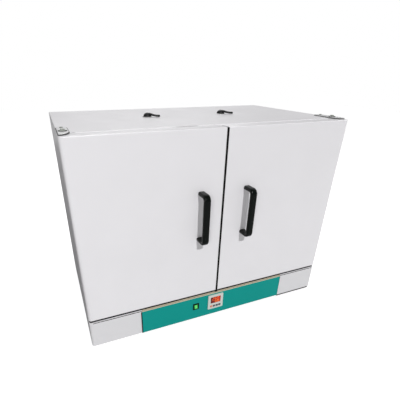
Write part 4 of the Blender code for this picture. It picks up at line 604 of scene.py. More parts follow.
# Split strips: black strips down the split edges of both doors, which close the gap between them and are
# painted shade of its depth, and a black rubber buffer on the ledge below.
SPLIT_GAP, STRIP_SETBACK, STRIP_DEPTH = 0.0003, 0.0012, 0.018
BUFFER_HALF_WIDTH = 0.006
for side, side_name in SIDES.items():
    body = f"{side_name}_door"
    low_x, high_x = sorted((side * SPLIT_GAP, side * (DOOR_SPLIT_X + 0.0007)))
    low = (low_x, DOOR_FACE_Y + STRIP_SETBACK, DOOR_LOW_Z + 0.0015)
    high = (high_x, DOOR_FACE_Y + STRIP_SETBACK + STRIP_DEPTH, DOOR_HIGH_Z - 0.0015)
    strip = plate(low, high, "Z", 0.0012, 0.0005, 0.0005)
    piece(f"{body}_split_strip", [strip], black_foam_and_shade, body)
buffer_low = (-BUFFER_HALF_WIDTH, ledge_front + 0.0005, trim_high.z)
buffer_high = (BUFFER_HALF_WIDTH, ledge_back, DOOR_LOW_Z - 0.0008)
buffer = plate(buffer_low, buffer_high, "Z", 0.002, 0.0003, 0.0012)
piece("door_buffer", [buffer], black_foam_and_shade, "cabinet")


# Door seals: extruded silicone rings with two soft lobes, mitred and bonded at the corners,
# wider down the middle where the two rings meet. A magnetic strip inside holds the doors shut.
silicone = moulded("silicone", (0.16, 0.16, 0.17), 0.55, 700.0, 0.00002, 0.35, 0.08)
# One lobe up to the ring's middle, as shares of its width and height; the other mirrors it
LOBE = np.array([
    (0.00, 0.00), (0.00, 0.40), (0.03, 0.68), (0.09, 0.88), (0.17, 0.98), (0.25, 1.00), (0.33, 0.95),
    (0.41, 0.82), (0.46, 0.74), (0.50, 0.72),
])
LOBES = np.concatenate([LOBE, [(1.0 - across, rise) for across, rise in LOBE[-2::-1]]])
for side, side_name in SIDES.items():
    body = f"{side_name}_door"
    low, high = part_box(f"{body}_seal")
    seal_left, seal_right = (SEAL_MIDDLE_WIDTH, SEAL_EDGE_WIDTH)[::side]
    outer_low, outer_high = np.array([low.x, low.z]), np.array([high.x, high.z])
    inner_low = outer_low + (seal_left, SEAL_EDGE_WIDTH)
    inner_high = outer_high - (seal_right, SEAL_EDGE_WIDTH)
    outer, inner = rounded(outer_low, outer_high, 0.004), rounded(inner_low, inner_high, 0.002)
    rings = []
    for across, rise in LOBES:
        outline = outer + across * (inner - outer)
        rings.append(raised(outline, low.y + rise * (high.y - low.y), "Y"))
    piece(f"{body}_seal_ring", [skinned(rings, loop=True)], silicone, body, [f"{body}_seal"])


# Door handles: D-shaped pulls of black moulded plastic, a rounded bar bent towards the door at both ends
# and screwed on from inside the door.
HANDLE_WIDTH, HANDLE_THICKNESS = 0.026, 0.015
HANDLE_BEND, HANDLE_EDGE = 0.0140, 0.0060
BEND_STEPS = 14


def swept(path, section, across, closed=False):
    """Rings of a section carried along a path.

    Its first direction is the across one made square to the path, and its second is square to both.
    """
    path = np.asarray(path, float)
    if closed:
        tangent = np.roll(path, -1, axis=0) - np.roll(path, 1, axis=0)
    else:
        tangent = np.gradient(path, axis=0)
    tangent /= np.linalg.norm(tangent, axis=1, keepdims=True)
    across = np.broadcast_to(np.asarray(across, float), path.shape)
    first = across - np.sum(across * tangent, axis=1, keepdims=True) * tangent
    first /= np.linalg.norm(first, axis=1, keepdims=True)
    second = np.cross(tangent, first)
    section = np.asarray(section, float)
    if section.ndim == 2:
        section = np.broadcast_to(section, (len(path), *section.shape))
    return path[:, None] + section[..., :1] * first[:, None] + section[..., 1:] * second[:, None]


def bent_path(corners, radii, steps):
    """Points along straight runs joined by arcs: each arc turns about its corner at its own radius."""
    corners = [np.asarray(corner, float) for corner in corners]
    points = [corners[0]]
    for before, corner, after, radius in zip(corners, corners[1:], corners[2:], radii):
        back, ahead = before - corner, after - corner
        back, ahead = back / np.linalg.norm(back), ahead / np.linalg.norm(ahead)
        half = math.acos(float(np.clip(np.dot(back, ahead), -1.0, 1.0))) / 2
        bisector = (back + ahead) / np.linalg.norm(back + ahead)
        centre = corner + bisector * radius / math.sin(half)
        start, end = corner + back * radius / math.tan(half), corner + ahead * radius / math.tan(half)
        turn = np.linspace(0.0, 1.0, steps + 1)[:, None]
        sweep = math.pi - 2 * half
        u, v = start - centre, end - centre
        points += list(centre + (np.sin((1 - turn) * sweep) * u + np.sin(turn * sweep) * v) / math.sin(sweep))
    points.append(corners[-1])
    return np.array(points)


handle_black = moulded("handle_black", (0.0016, 0.0030, 0.0024), 0.15, 1300.0, 0.000004, 0.16, 0.15)
half_width, half_thickness = HANDLE_WIDTH / 2, HANDLE_THICKNESS / 2
handle_section = rounded((-half_width, -half_thickness), (half_width, half_thickness), HANDLE_EDGE, 7)
for side_name in SIDES.values():
    body = f"{side_name}_door"
    low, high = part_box(f"{body}_handle")
    x = middle_of(low, high)[0]
    bar_y, foot_y = low.y + half_thickness, DOOR_FACE_Y - 0.0003
    low_z, high_z = low.z + half_thickness, high.z - half_thickness
    corners = [(x, foot_y, low_z), (x, bar_y, low_z), (x, bar_y, high_z), (x, foot_y, high_z)]
    path = bent_path(corners, [HANDLE_BEND, HANDLE_BEND], BEND_STEPS)
    rings = swept(path, handle_section, (1.0, 0.0, 0.0))
    piece(f"{body}_pull", [skinned(rings)], handle_black, body, [f"{body}_handle"], 50)


# Upper hinges: plates with a long nose, bolted to the cabinet's top over a black spacer, each holding
# a steel pin that drops into the door. A flanged hexagon bolt and a pan-head screw hold each plate.
# The spacer's black lip round the plate and the black washer under the bolt are painted shade.
zinc_plated = milled("zinc_plated", (0.40, 0.43, 0.39), 0.42, 300.0)
hinge_zinc = moulded("hinge_zinc", (0.27, 0.285, 0.26), 0.50, 500.0, 0.00001, 0.3, 0.10)
spacer_shade_black = moulded("spacer_shade_black", (0.060, 0.060, 0.057), 0.8, 900.0, 0.00004, 0.2, 0.15)
washer_shade_black = moulded("washer_shade_black", (0.022, 0.022, 0.021), 0.7, 900.0, 0.00004, 0.2, 0.15)
plate_grey = painted("plate_grey", (0.60, 0.60, 0.61), 0.32)
NOSE_LENGTH, PLATE_CORNER = 0.046, 0.005
SPACER_HEIGHT, SPACER_SHADE_LIP = 0.0016, 0.0022
BOLT_HEAD, PAN_HEAD = 0.0055, 0.003
SCREW_RINGS, SCREW_STEPS = 16, 48
BACKWARDS, FORWARDS = (0.0, 1.0, 0.0), (0.0, -1.0, 0.0)


def screw_head(centre, outward, radius, height):
    """Skin of a pan head with a cross recess, worked out over rings and turns.

    The crown falls with the fourth power of the radius, and the cross sinks where either bar is near.
    """
    share = np.concatenate([np.linspace(0.0, 1.0, SCREW_RINGS), [1.0, 1.0]])[:, None]
    turn = np.linspace(0.0, 2 * np.pi, SCREW_STEPS, endpoint=False)[None, :]
    a, b = share * np.cos(turn), share * np.sin(turn)
    crown = 1.0 - 0.45 * share**4
    bars = [
        np.clip((0.13 - np.abs(wide)) / 0.10 + 0.5, 0, 1) * np.clip((0.58 - np.abs(long)) / 0.15, 0, 1)
        for wide, long in ((a, b), (b, a))
    ]
    level = height * (crown - 0.6 * np.maximum(*bars))
    level[-2], level[-1] = 0.12 * height, 0.0
    outward = np.asarray(outward, float)
    first = np.cross(outward, (0.0, 0.0, 1.0) if abs(outward[2]) < 0.5 else (1.0, 0.0, 0.0))
    second = np.cross(outward, first)
    arms = radius * (a[..., None] * first + b[..., None] * second)
    return skinned(np.asarray(centre, float) + arms + level[..., None] * outward)


def circled(turn, radius, up, x=0.0, y=0.0):
    """Ring round an upright axis, with a radius and a height at each turn."""
    up = np.broadcast_to(up, turn.shape)
    return np.stack([x + radius * np.cos(turn), y + radius * np.sin(turn), up], axis=-1)


def bolt_head(centre, across_flats, flange_radius, flange, height):
    """Skin of a flanged hexagon head.

    At each turn the hexagon's radius is half its width over the cosine to the nearest flat.
    """
    turn = np.linspace(0.0, 2 * np.pi, 72, endpoint=False)
    six = across_flats / 2 / np.cos((turn + np.pi / 6) % (np.pi / 3) - np.pi / 6)
    crown = across_flats / 2 * 0.94
    rows = [
        (flange_radius, 0.0), (flange_radius, 0.0007), (flange_radius * 0.97, 0.0011), (six * 1.04, flange),
        (six, flange + 0.0003), (six, height - 0.0011), (np.minimum(six, crown * 1.07), height - 0.0005),
        (crown, height), (crown * 0.85, height), (crown * 0.70, height - 0.0005), (0.0, height - 0.0005),
    ]
    return skinned(np.array([circled(turn, radius, up) for radius, up in rows]) + np.asarray(centre, float))


def shank(x, y, low_z, high_z, radius):
    """Skin of a screw's round shank with an eased tip."""
    profile = [(0.0, low_z), (radius - 0.0005, low_z), (radius, low_z + 0.0006), (radius, high_z)]
    return skinned(turned(profile, 24, (x, y, 0.0)))


def hinge_outline(low, high, side, grow):
    """Outline of a hinge plate: small round corners, and a quarter ellipse at its inner front corner."""
    low_x, high_x = low.x - grow, high.x + grow
    front, back, corner = low.y - grow, high.y + grow, PLATE_CORNER + grow
    outline = rounded((low_x, front), (high_x, back), corner, 8)
    turn = np.linspace(0.0, np.pi / 2, 25)
    reach = high_x - low_x - corner
    outer = high_x if side > 0 else low_x
    nose = np.stack([
        outer - side * (corner + reach * np.sin(turn)),
        front + (NOSE_LENGTH + grow) * (1 - np.cos(turn)),
    ], axis=-1)
    if side < 0:
        return np.concatenate([outline[:9], nose, outline[18:]])
    return np.concatenate([nose[::-1], outline[9:]])


def eased(outline_at, low, high, near, far):
    """Skin between two heights of an outline that depends on its inset, with both rims rounded."""
    turn = np.linspace(0.0, np.pi / 2, 5)
    levels = [(near + 0.001, low)]
    levels += [(near * (1 - math.sin(t)), low + near * (1 - math.cos(t))) for t in turn]
    levels += [(far * (1 - math.sin(t)), high - far * (1 - math.cos(t))) for t in turn[::-1]]
    levels += [(far + 0.001, high)]
    return skinned([raised(outline_at(-inset), depth, "Z") for inset, depth in levels])


for side, side_name in SIDES.items():
    node = f"{side_name}_upper_hinge_plate"
    low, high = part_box(node)
    spacer_top = low.z + SPACER_HEIGHT
    top_outline = lambda grow: hinge_outline(low, high, side, grow - SPACER_SHADE_LIP)
    top_plate = eased(top_outline, spacer_top, high.z, 0.0002, 0.0006)
    piece(f"{node}_top", [top_plate], plate_grey, "cabinet", [node])
    spacer = eased(lambda grow: hinge_outline(low, high, side, grow), low.z, spacer_top, 0.0002, 0.0003)
    piece(f"{side_name}_hinge_spacer", [spacer], spacer_shade_black, "cabinet")

    low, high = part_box(f"{side_name}_upper_hinge_pin")
    x, y, _ = middle_of(low, high)
    radius = (high.x - low.x) / 2
    profile = [(0, low.z), (radius - 0.0008, low.z), (radius, low.z + 0.0008), (radius, high.z - 0.0002)]
    profile += [(radius - 0.0004, high.z + 0.0002), (radius * 0.5, high.z + 0.0002), (0, high.z)]
    pin = skinned(turned(profile, 32, (x, y, 0.0)), ends=False)
    piece(f"{side_name}_hinge_pin", [pin], zinc_plated, "cabinet", [f"{side_name}_upper_hinge_pin"])

    low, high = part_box(f"{side_name}_hinge_bolt")
    x, y, _ = middle_of(low, high)
    seat = high.z - BOLT_HEAD
    bolt = [shank(x, y, low.z, seat, 0.004), bolt_head((x, y, seat), 0.013, 0.009, 0.002, BOLT_HEAD)]
    piece(f"{side_name}_flange_bolt", bolt, hinge_zinc, "cabinet", [f"{side_name}_hinge_bolt"])
    low_z, high_z = seat - 0.0002, seat + 0.0006
    washer = [(0.0045, low_z), (0.0130, low_z), (0.0138, seat + 0.0002), (0.0133, high_z), (0.0045, high_z)]
    washer = skinned(turned(washer, 48, (x, y, 0.0)), loop=True)
    piece(f"{side_name}_bolt_washer", [washer], washer_shade_black, "cabinet")

    low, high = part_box(f"{side_name}_hinge_screw")
    x, y, _ = middle_of(low, high)
    seat = high.z - PAN_HEAD
    screw = [shank(x, y, low.z, seat, 0.0025), screw_head((x, y, seat), (0.0, 0.0, 1.0), 0.005, PAN_HEAD)]
    piece(f"{side_name}_pan_screw", screw, hinge_zinc, "cabinet", [f"{side_name}_hinge_screw"])


# Lower hinges: white painted blocks on the base's ledge at both ends,
# each with a collared steel pin that carries its door.
PIN_RADIUS, COLLAR_RADIUS = 0.004, 0.008
for side_name in SIDES.values():
    node = f"{side_name}_lower_hinge_plate"
    low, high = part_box(node)
    block = plate(tuple(low), tuple(high), "Z", 0.004, 0.0004, 0.0008, 5, 8)
    piece(f"{node}_white", [block], white_paint, "cabinet", [node])
    node = f"{side_name}_lower_hinge_pin"
    low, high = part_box(node)
    x, y, _ = middle_of(low, high)
    collar_low, collar_high = DOOR_LOW_Z - 0.0054, DOOR_LOW_Z - 0.0003
    profile = [
        (0, low.z), (PIN_RADIUS, low.z), (PIN_RADIUS, collar_low), (COLLAR_RADIUS - 0.0005, collar_low),
        (COLLAR_RADIUS, collar_low + 0.0005), (COLLAR_RADIUS, collar_high - 0.0005),
        (COLLAR_RADIUS - 0.0005, collar_high), (PIN_RADIUS, collar_high), (PIN_RADIUS, high.z - 0.0008),
        (PIN_RADIUS - 0.0008, high.z), (0, high.z),
    ]
    pin = skinned(turned(profile, 40, (x, y, 0.0)), ends=False)
    piece(f"{side_name}_collared_pin", [pin], zinc_plated, "cabinet", [node])


# Gap strip: a white silicone strip on the cabinet's front, which fills the gap over the doors. It stops short
# of the hinges, and is open over a short stretch left of the middle, where the gap is seen to be darker.
GAP_STRIP_RUNS = ((-0.485, -0.165), (-0.085, 0.485))
white_silicone = moulded("white_silicone", (0.80, 0.79, 0.81), 0.5, 600.0, 0.00001, 0.4, 0.02)
frame_low, frame_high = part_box("front_frame")
strip_front, strip_back = DOOR_BACK_Y + 0.0006, frame_low.y - 0.0003
strips = []
for low_x, high_x in GAP_STRIP_RUNS:
    low, high = (low_x, strip_front, DOOR_HIGH_Z - 0.0095), (high_x, strip_back, DOOR_HIGH_Z + 0.0003)
    strips.append(plate(low, high, "X", 0.0026, 0.0004, 0.0004))
piece("gap_strip", strips, white_silicone, "cabinet")


# Back panel: white sheet with cooling slots under pressed hoods, held by pan-head screws round its edge.
# Four smaller screws in its middle hold the fan's motor.
back_low, back_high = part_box("back_panel")
shaft_low, shaft_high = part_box("fan_shaft")
FAN_Z = (shaft_low.z + shaft_high.z) / 2
SLOT_WIDTH, SLOT_PITCH, SLOT_ROWS, SLOTS_FROM_MIDDLE = 0.120, 0.014, 9, 0.150
MOTOR_SCREW_X, MOTOR_SCREW_Z = 0.0434, 0.024
HOOD_RISE, HOOD_SHEET = 0.0021, 0.0007


def hood(middle, z):
    """Skin of a pressed hood over a slot: a half-open quarter roll whose rise fades out at both ends.

    The rise at a share v of its length is HOOD_RISE * (1 - |v|^6), and grows with the sine of the way down.
    """
    shares = np.concatenate([np.linspace(-1, -0.6, 9), np.linspace(-0.4, 0.4, 3), np.linspace(0.6, 1, 9)])
    turn = np.linspace(0.0, np.pi / 2, 8)
    rings = []
    for share in shares:
        rise = 0.0003 + (HOOD_RISE - 0.0003) * (1 - abs(share) ** 6)
        outer_y, outer_z = rise * np.sin(turn), z + 0.0042 - 0.0074 * (1 - np.cos(turn))
        inner_y = np.maximum(outer_y - HOOD_SHEET, -0.0002)
        ring_y = np.concatenate([outer_y, inner_y[::-1]]) + back_high.y
        ring_z = np.concatenate([outer_z, outer_z[::-1] - 0.0004 * np.cos(turn[::-1])])
        ring_x = np.full_like(ring_y, middle + share * (SLOT_WIDTH / 2 + 0.003))
        rings.append(np.stack([ring_x, ring_y, ring_z], axis=-1))
    return skinned(rings)


hoods = []
for middle in (-SLOTS_FROM_MIDDLE, SLOTS_FROM_MIDDLE):
    for row in range(SLOT_ROWS):
        hoods.append(hood(middle, FAN_Z + (row - (SLOT_ROWS - 1) / 2) * SLOT_PITCH))
piece("louvre_hoods", hoods, white_paint, "cabinet")
edge_x, edge_z = back_high.x - 0.010, np.linspace(back_low.z + 0.030, back_high.z - 0.012, 5)
places = [(side * edge_x, z) for side in SIDES for z in edge_z]
places += [(x, z) for x in np.linspace(-0.36, 0.36, 5) for z in (back_low.z + 0.010, back_high.z - 0.010)]
places += [(x, base_high.z - 0.012) for x in np.linspace(-0.5, 0.5, 5)]
screws = [screw_head((x, back_high.y, z), BACKWARDS, 0.004, 0.0018) for x, z in places]
places = [(x, FAN_Z + z) for x in (-MOTOR_SCREW_X, MOTOR_SCREW_X) for z in (-MOTOR_SCREW_Z, MOTOR_SCREW_Z)]
screws += [screw_head((x, back_high.y, z), BACKWARDS, 0.0035, 0.0018) for x, z in places]
piece("back_screws", screws, zinc_plated, "cabinet")


# Door plate screws: pan heads of zinc-plated steel, which hold each stainless back plate to its pan,
# outside the seal.
EDGE_SCREW_X, END_SCREW_X = 0.4945, (0.06, 0.17, 0.28, 0.39)
for side, side_name in SIDES.items():
    body = f"{side_name}_door"
    places = [(EDGE_SCREW_X, z) for z in np.linspace(DOOR_LOW_Z + 0.05, DOOR_HIGH_Z - 0.05, 5)]
    places += [(x, z) for x in END_SCREW_X for z in (DOOR_LOW_Z + 0.013, DOOR_HIGH_Z - 0.022)]
    screws = [screw_head((side * x, DOOR_BACK_Y, z), BACKWARDS, 0.0035, 0.0016) for x, z in places]
    piece(f"{body}_screws", screws, zinc_plated, body)


# Air vents: a turned steel pipe with a flat rim and a short sleeve, and on it a domed black damper
# with a thick lever. A mouth in the dome and one in the sleeve meet when the lever is turned.
vent_black = moulded("vent_black", (0.0075, 0.0075, 0.008), 0.45, 900.0, 0.00002, 0.22, 0.2)
VENT_STEPS = 96
VENT_BORE, VENT_WALL, DOME_RADIUS, DOME_WALL, DOME_ROUNDNESS = 0.012, 0.0135, 0.0160, 0.0014, 2.0
LEVER_REST, LEVER_CORNER_SHARE = math.radians(-45), 0.42
MOUTH_HALF_TURN = 0.42
# The lever's stations: reach from the dome's axis, height of its middle, width and thickness
LEVER_STATIONS = np.array([
    (0.004, 0.0094, 0.0110, 0.0070), (0.010, 0.0090, 0.0116, 0.0080), (0.016, 0.0078, 0.0112, 0.0086),
    (0.022, 0.0066, 0.0098, 0.0082), (0.028, 0.0056, 0.0088, 0.0076), (0.034, 0.0048, 0.0092, 0.0072),
    (0.040, 0.0044, 0.0112, 0.0076), (0.045, 0.0043, 0.0124, 0.0080), (0.050, 0.0043, 0.0120, 0.0080),
    (0.0535, 0.0042, 0.0092, 0.0074), (0.0550, 0.0041, 0.0050, 0.0044), (0.0553, 0.0040, 0.0012, 0.0012),
])


def mouth(turn, middle, depth):
    """Depth of a mouth at each turn: full within its half turn of the middle, with short steep sides."""
    away = np.abs((turn - middle + np.pi) % (2 * np.pi) - np.pi)
    return depth * np.clip((MOUTH_HALF_TURN - away) / 0.05, 0.0, 1.0)


for name in SIDES.values():
    low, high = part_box(f"{name}_vent_pipe")
    x, y, _ = middle_of(low, high)
    rim, rim_low = (high.x - low.x) / 2, frame_high.z + 0.0021
    rim_top = rim_low + 0.002
    turn = np.linspace(0.0, 2 * np.pi, VENT_STEPS, endpoint=False)
    sleeve = rim_top + 0.0056 - mouth(turn, LEVER_REST + np.pi, 0.0045)
    rows = [
        (VENT_BORE, low.z), (VENT_WALL, low.z), (VENT_WALL, rim_low), (rim - 0.0004, rim_low),
        (rim, rim_low + 0.0004), (rim, rim_top - 0.0008), (rim - 0.0008, rim_top),
        (VENT_WALL + 0.0004, rim_top), (VENT_WALL, rim_top + 0.0004),
        (VENT_WALL, sleeve - 0.0003), (VENT_WALL - 0.0003, sleeve),
        (VENT_BORE + 0.0003, sleeve), (VENT_BORE, sleeve - 0.0003),
    ]
    pipe = skinned([circled(turn, radius, up, x, y) for radius, up in rows], loop=True)
    piece(f"{name}_vent_tube", [pipe], stainless, "cabinet", [f"{name}_vent_pipe"])

    low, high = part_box(f"{name}_vent_damper")
    gap = mouth(turn, LEVER_REST + np.pi / 2, 0.0060)
    rings = []
    for inward, shares in ((0.0, np.linspace(0.0, 1.0, 18)), (DOME_WALL, np.linspace(1.0, 0.0, 14))):
        dome_height = high.z - low.z - inward
        for share in shares:
            up = gap + (dome_height - gap) * math.sin(share * np.pi / 2)
            bulge = np.maximum(1 - (up / dome_height) ** DOME_ROUNDNESS, 0.0) ** (1 / DOME_ROUNDNESS)
            rings.append(circled(turn, (DOME_RADIUS - inward) * bulge, low.z + up, x, y))
    dome = skinned(rings, loop=True)
    stations = np.arange(len(LEVER_STATIONS))
    fine = np.linspace(0, stations[-1], 56)
    reach, middle, width, thick = (np.interp(fine, stations, values) for values in LEVER_STATIONS.T)
    ahead_x, ahead_y = math.cos(LEVER_REST), math.sin(LEVER_REST)
    path = np.stack([x + reach * ahead_x, y + reach * ahead_y, low.z + middle], axis=-1)
    halves = np.stack([width, thick], axis=-1) / 2
    sections = [rounded(-half, half, LEVER_CORNER_SHARE * 2 * min(half), 5) for half in halves]
    cap = [dome, skinned(swept(path, np.array(sections), (-ahead_y, ahead_x, 0.0)))]
    piece(f"{name}_vent_cap", cap, vent_black, f"{name}_damper", [f"{name}_vent_damper"], 45)


# Controller: a square instrument of pale moulded plastic with a tinted red display window, lit digits
# that stand just proud of it, and four small keys with symbols.
case_pale = moulded("case_pale", (0.545, 0.565, 0.530), 0.42, 900.0, 0.000015, 0.4, 0.02)
dress("controller_case", case_pale, 0.0007)
window_low, window_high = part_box("controller_window")


def place_parts(tree):
    """Outputs X, Y and Z of the object coordinates."""
    coordinates = tree.nodes.new("ShaderNodeTexCoord")
    parts = tree.nodes.new("ShaderNodeSeparateXYZ")
    tree.links.new(coordinates.outputs["Object"], parts.inputs["Vector"])
    return parts.outputs


def lit(name, colour, glow, strength, left, right, roughness=0.18):
    """Tinted plastic that glows: the glow grows from the left place to the right one, with faint clouds."""
    material, tree, shader = new_finish(name)
    shader.inputs["Base Color"].default_value = (*colour, 1.0)
    level = spread(tree, place_parts(tree)["X"], 0.15, 1.0, left, right)
    power = worked(tree, "MULTIPLY", level, spread(tree, noise(tree, 260.0, 2.0), 0.8, 1.2))
    shader.inputs["Emission Color"].default_value = (*glow, 1.0)
    tree.links.new(worked(tree, "MULTIPLY", power, strength), shader.inputs["Emission Strength"])
    glossed(tree, shader, noise(tree, 90.0, 3.0), roughness - 0.04, roughness + 0.06)
    return material


display_red = lit("display_red", (0.05, 0.001, 0.002), (0.66, 0.022, 0.004), 0.58, -0.024, 0.012)
face_low = (window_low.x, window_low.y + 0.0005, window_low.z)
display_face = plate(face_low, tuple(window_high), "Y", 0.0012, 0.0004)
piece("display_window", [display_face], display_red, "cabinet", ["controller_window"])

SEGMENTS = {
    "a": ((-1, 2), (1, 2)), "b": ((1, 2), (1, 0)), "c": ((1, 0), (1, -2)), "d": ((-1, -2), (1, -2)),
    "e": ((-1, 0), (-1, -2)), "f": ((-1, 2), (-1, 0)), "g": ((-1, 0), (1, 0)),
}
LIT = {"0": "abcdef", "2": "abged", "5": "afgcd"}
DIGIT_SLANT, BAR_HALF_WIDTH, BAR_GAP = 0.10, 0.00065, 0.00025
# Each row of digits: figures, first place from the window's middle, pitch, half width and quarter height
UPPER_ROW = ("250", -0.0115, 0.0115, 0.0032, 0.0033)
LOWER_ROW = ("500", -0.0015, 0.0082, 0.0022, 0.0022)


def digit(figure, centre_x, centre_z, half_width, quarter, y):
    """Skins of one seven-segment figure: six-sided bars between the grid's corners, leaning to the right."""
    bars = []
    for segment in LIT[figure]:
        start, end = (np.array(corner, float) * (half_width, quarter) for corner in SEGMENTS[segment])
        way = (end - start) / np.linalg.norm(end - start)
        side, tip = np.array([-way[1], way[0]]) * BAR_HALF_WIDTH, way * BAR_HALF_WIDTH
        start, end = start + way * BAR_GAP, end - way * BAR_GAP
        near, far = start + tip, end - tip
        flat = np.array([start, near + side, far + side, end, far - side, near - side])
        flat[:, 0] += DIGIT_SLANT * flat[:, 1]
        flat += (centre_x, centre_z)
        bars.append(skinned([raised(flat, y, "Y"), raised(flat, y + 0.0002, "Y")]))
    return bars


def digit_row(row, centre_z):
    """Skins of a row of figures in the window."""
    figures, first, pitch, half_width, quarter = row
    start_x, y = middle_of(window_low, window_high)[0] + first, window_low.y + 0.00035
    skins = []
    for place, figure in enumerate(figures):
        skins += digit(figure, start_x + place * pitch, centre_z, half_width, quarter, y)
    return skins


digits = digit_row(UPPER_ROW, window_high.z - 0.0100)
small_digits = digit_row(LOWER_ROW, window_low.z + 0.0078)
glow_orange = lit("glow_orange", (0.5, 0.06, 0.01), (1.0, 0.16, 0.015), 1.0, -0.05, -0.04)
glow_amber = lit("glow_amber", (0.5, 0.12, 0.02), (1.0, 0.24, 0.02), 1.0, -0.05, -0.04)
piece("display_digits", digits, glow_orange, "cabinet")
piece("display_small_digits", small_digits, glow_amber, "cabinet")

key_grey = moulded("key_grey", (0.020, 0.032, 0.048), 0.45, 800.0, 0.00001, 0.3, 0.05)
key_orange = moulded("key_orange", (0.62, 0.13, 0.05), 0.45, 800.0, 0.00001, 0.4, 0.05)
mark_white = moulded("mark_white", (0.42, 0.43, 0.42), 0.5, 900.0, 0.000005, 0.3, 0.02)
MARK_RISE, RING_OUTER, RING_INNER = 0.00008, 0.0024, 0.0017
ARROW = np.array([(-1.0, -0.8), (1.0, -0.8), (0.0, 0.9)]) * 0.0017
QUARTER_TURNS = {2: 1, 3: 2, 4: 0}
ring_turn = np.linspace(0.0, 2 * np.pi, 28, endpoint=False)
circle = np.stack([np.cos(ring_turn), np.sin(ring_turn)], axis=-1)
for number in range(1, 5):
    node = f"controller_key_{number}"
    low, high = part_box(node)
    cap = plate(tuple(low), tuple(high), "Y", 0.0012, 0.0005, 0.0002)
    finish = key_orange if number == 1 else key_grey
    piece(f"key_cap_{number}", [cap], finish, f"key_{number}", [node])
    x, _, z = middle_of(low, high)
    if number == 1:
        levels = ((RING_OUTER, 0.0), (RING_OUTER, MARK_RISE), (RING_INNER, MARK_RISE), (RING_INNER, 0.0))
        rings = [raised(circle * radius + (x, z), low.y - rise, "Y") for radius, rise in levels]
        mark = skinned(rings, loop=True)
    else:
        flat = ARROW
        for _ in range(QUARTER_TURNS[number]):
            flat = np.stack([-flat[:, 1], flat[:, 0]], axis=-1)
        mark = skinned([raised(flat + (x, z), low.y - rise, "Y") for rise in (MARK_RISE, -0.0001)])
    piece(f"key_mark_{number}", [mark], mark_white, f"key_{number}")


# Power switch: a black snap-in body whose bezel slopes to its well, and a clear green rocker lit from
# inside, dished on its face, with a line and a ring moulded on it.
switch_low, switch_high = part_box("switch_body")
rocker_low, rocker_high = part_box("switch_rocker")
switch_black = moulded("switch_black", (0.0010, 0.0060, 0.0028), 0.35, 900.0, 0.00001, 0.12, 0.1)
SWITCH_X, _, SWITCH_Z = middle_of(switch_low, switch_high)
ROCKER_RADIUS, ROCKER_DISH, ROCKER_FACE, PIVOT_DEPTH, ROCKER_PROUD = 0.0115, 0.0018, 0.0100, 0.004, 0.0013
ROCKER_TILT, ROCKER_BACK_DEGREES = math.radians(8.0), 75.0
GLOW_HALF_WIDTH, GLOW_HALF_HEIGHT, GLOW_ASIDE = 0.0072, 0.0092, 0.0003
MARK_FROM_MIDDLE, MARK_SUNK, MARK_PROUD = 0.0052, -0.0001, 0.00012
LINE_HALF_WIDTH, LINE_HALF_HEIGHT, ZERO_OUTER, ZERO_INNER = 0.00035, 0.0021, 0.0022, 0.0016
pivot_y, front = DOOR_FACE_Y + PIVOT_DEPTH, switch_low.y
rocker_rise = pivot_y - front + ROCKER_PROUD
rocker_half = (rocker_high.x - rocker_low.x) / 2
well_half = np.array([rocker_half + 0.0003, ROCKER_RADIUS + 0.0005])
well_bottom = pivot_y + ROCKER_RADIUS + 0.0004
bezel_half = np.array([switch_high.x - switch_low.x, switch_high.z - switch_low.z]) / 2
body_half, body_front = bezel_half - 0.002, DOOR_FACE_Y - 0.0003


def boxed(middle, levels):
    """Skin of stacked rounded rectangles round a middle: each level gives half its size, corner and depth."""
    return framed([(middle - half, middle + half, corner, depth) for half, corner, depth in levels])


housing = boxed(np.array([SWITCH_X, SWITCH_Z]), [
    (body_half, 0.001, switch_high.y), (body_half, 0.001, body_front), (bezel_half, 0.002, body_front),
    (bezel_half, 0.002, front + 0.0010), (bezel_half - 0.0003, 0.002, front + 0.0004),
    (bezel_half - 0.0009, 0.0018, front), (well_half + 0.0010, 0.0012, front),
    (well_half, 0.0008, front + 0.0012), (well_half, 0.0008, well_bottom),
])
piece("switch_housing", [housing], switch_black, "cabinet", ["switch_body"])


def rocker_face(up):
    """Depth of the rocker's face before its axis at a height along it, dished by the height's square."""
    return -rocker_rise + ROCKER_DISH * (1 - (up / ROCKER_FACE) ** 2)


def tipped(deep, up, x):
    """Points at a depth and height from the rocker's axis, turned by its rest tilt."""
    deep, up = np.asarray(deep, float), np.asarray(up, float)
    y = pivot_y + deep * math.cos(ROCKER_TILT) + up * math.sin(ROCKER_TILT)
    z = SWITCH_Z - deep * math.sin(ROCKER_TILT) + up * math.cos(ROCKER_TILT)
    return np.stack([np.broadcast_to(x, y.shape), y, z], axis=-1)


turn = np.radians(np.linspace(-ROCKER_BACK_DEGREES, ROCKER_BACK_DEGREES, 25))
face_up = np.linspace(ROCKER_FACE, -ROCKER_FACE, 25)
rocker_deep = np.concatenate([ROCKER_RADIUS * np.cos(turn), rocker_face(face_up)])
rocker_up = np.concatenate([ROCKER_RADIUS * np.sin(turn), face_up])
ends = [(-1, 0.0012), (-1, 0.0004), (-0.985, 0.0001), (-0.96, 0.0)]
rings = []
for share, inset in [*ends, *[(-share, inset) for share, inset in ends[::-1]]]:
    shrink = 1 - inset / ROCKER_RADIUS
    rings.append(tipped(rocker_deep * shrink, rocker_up * shrink, SWITCH_X + share * rocker_half))


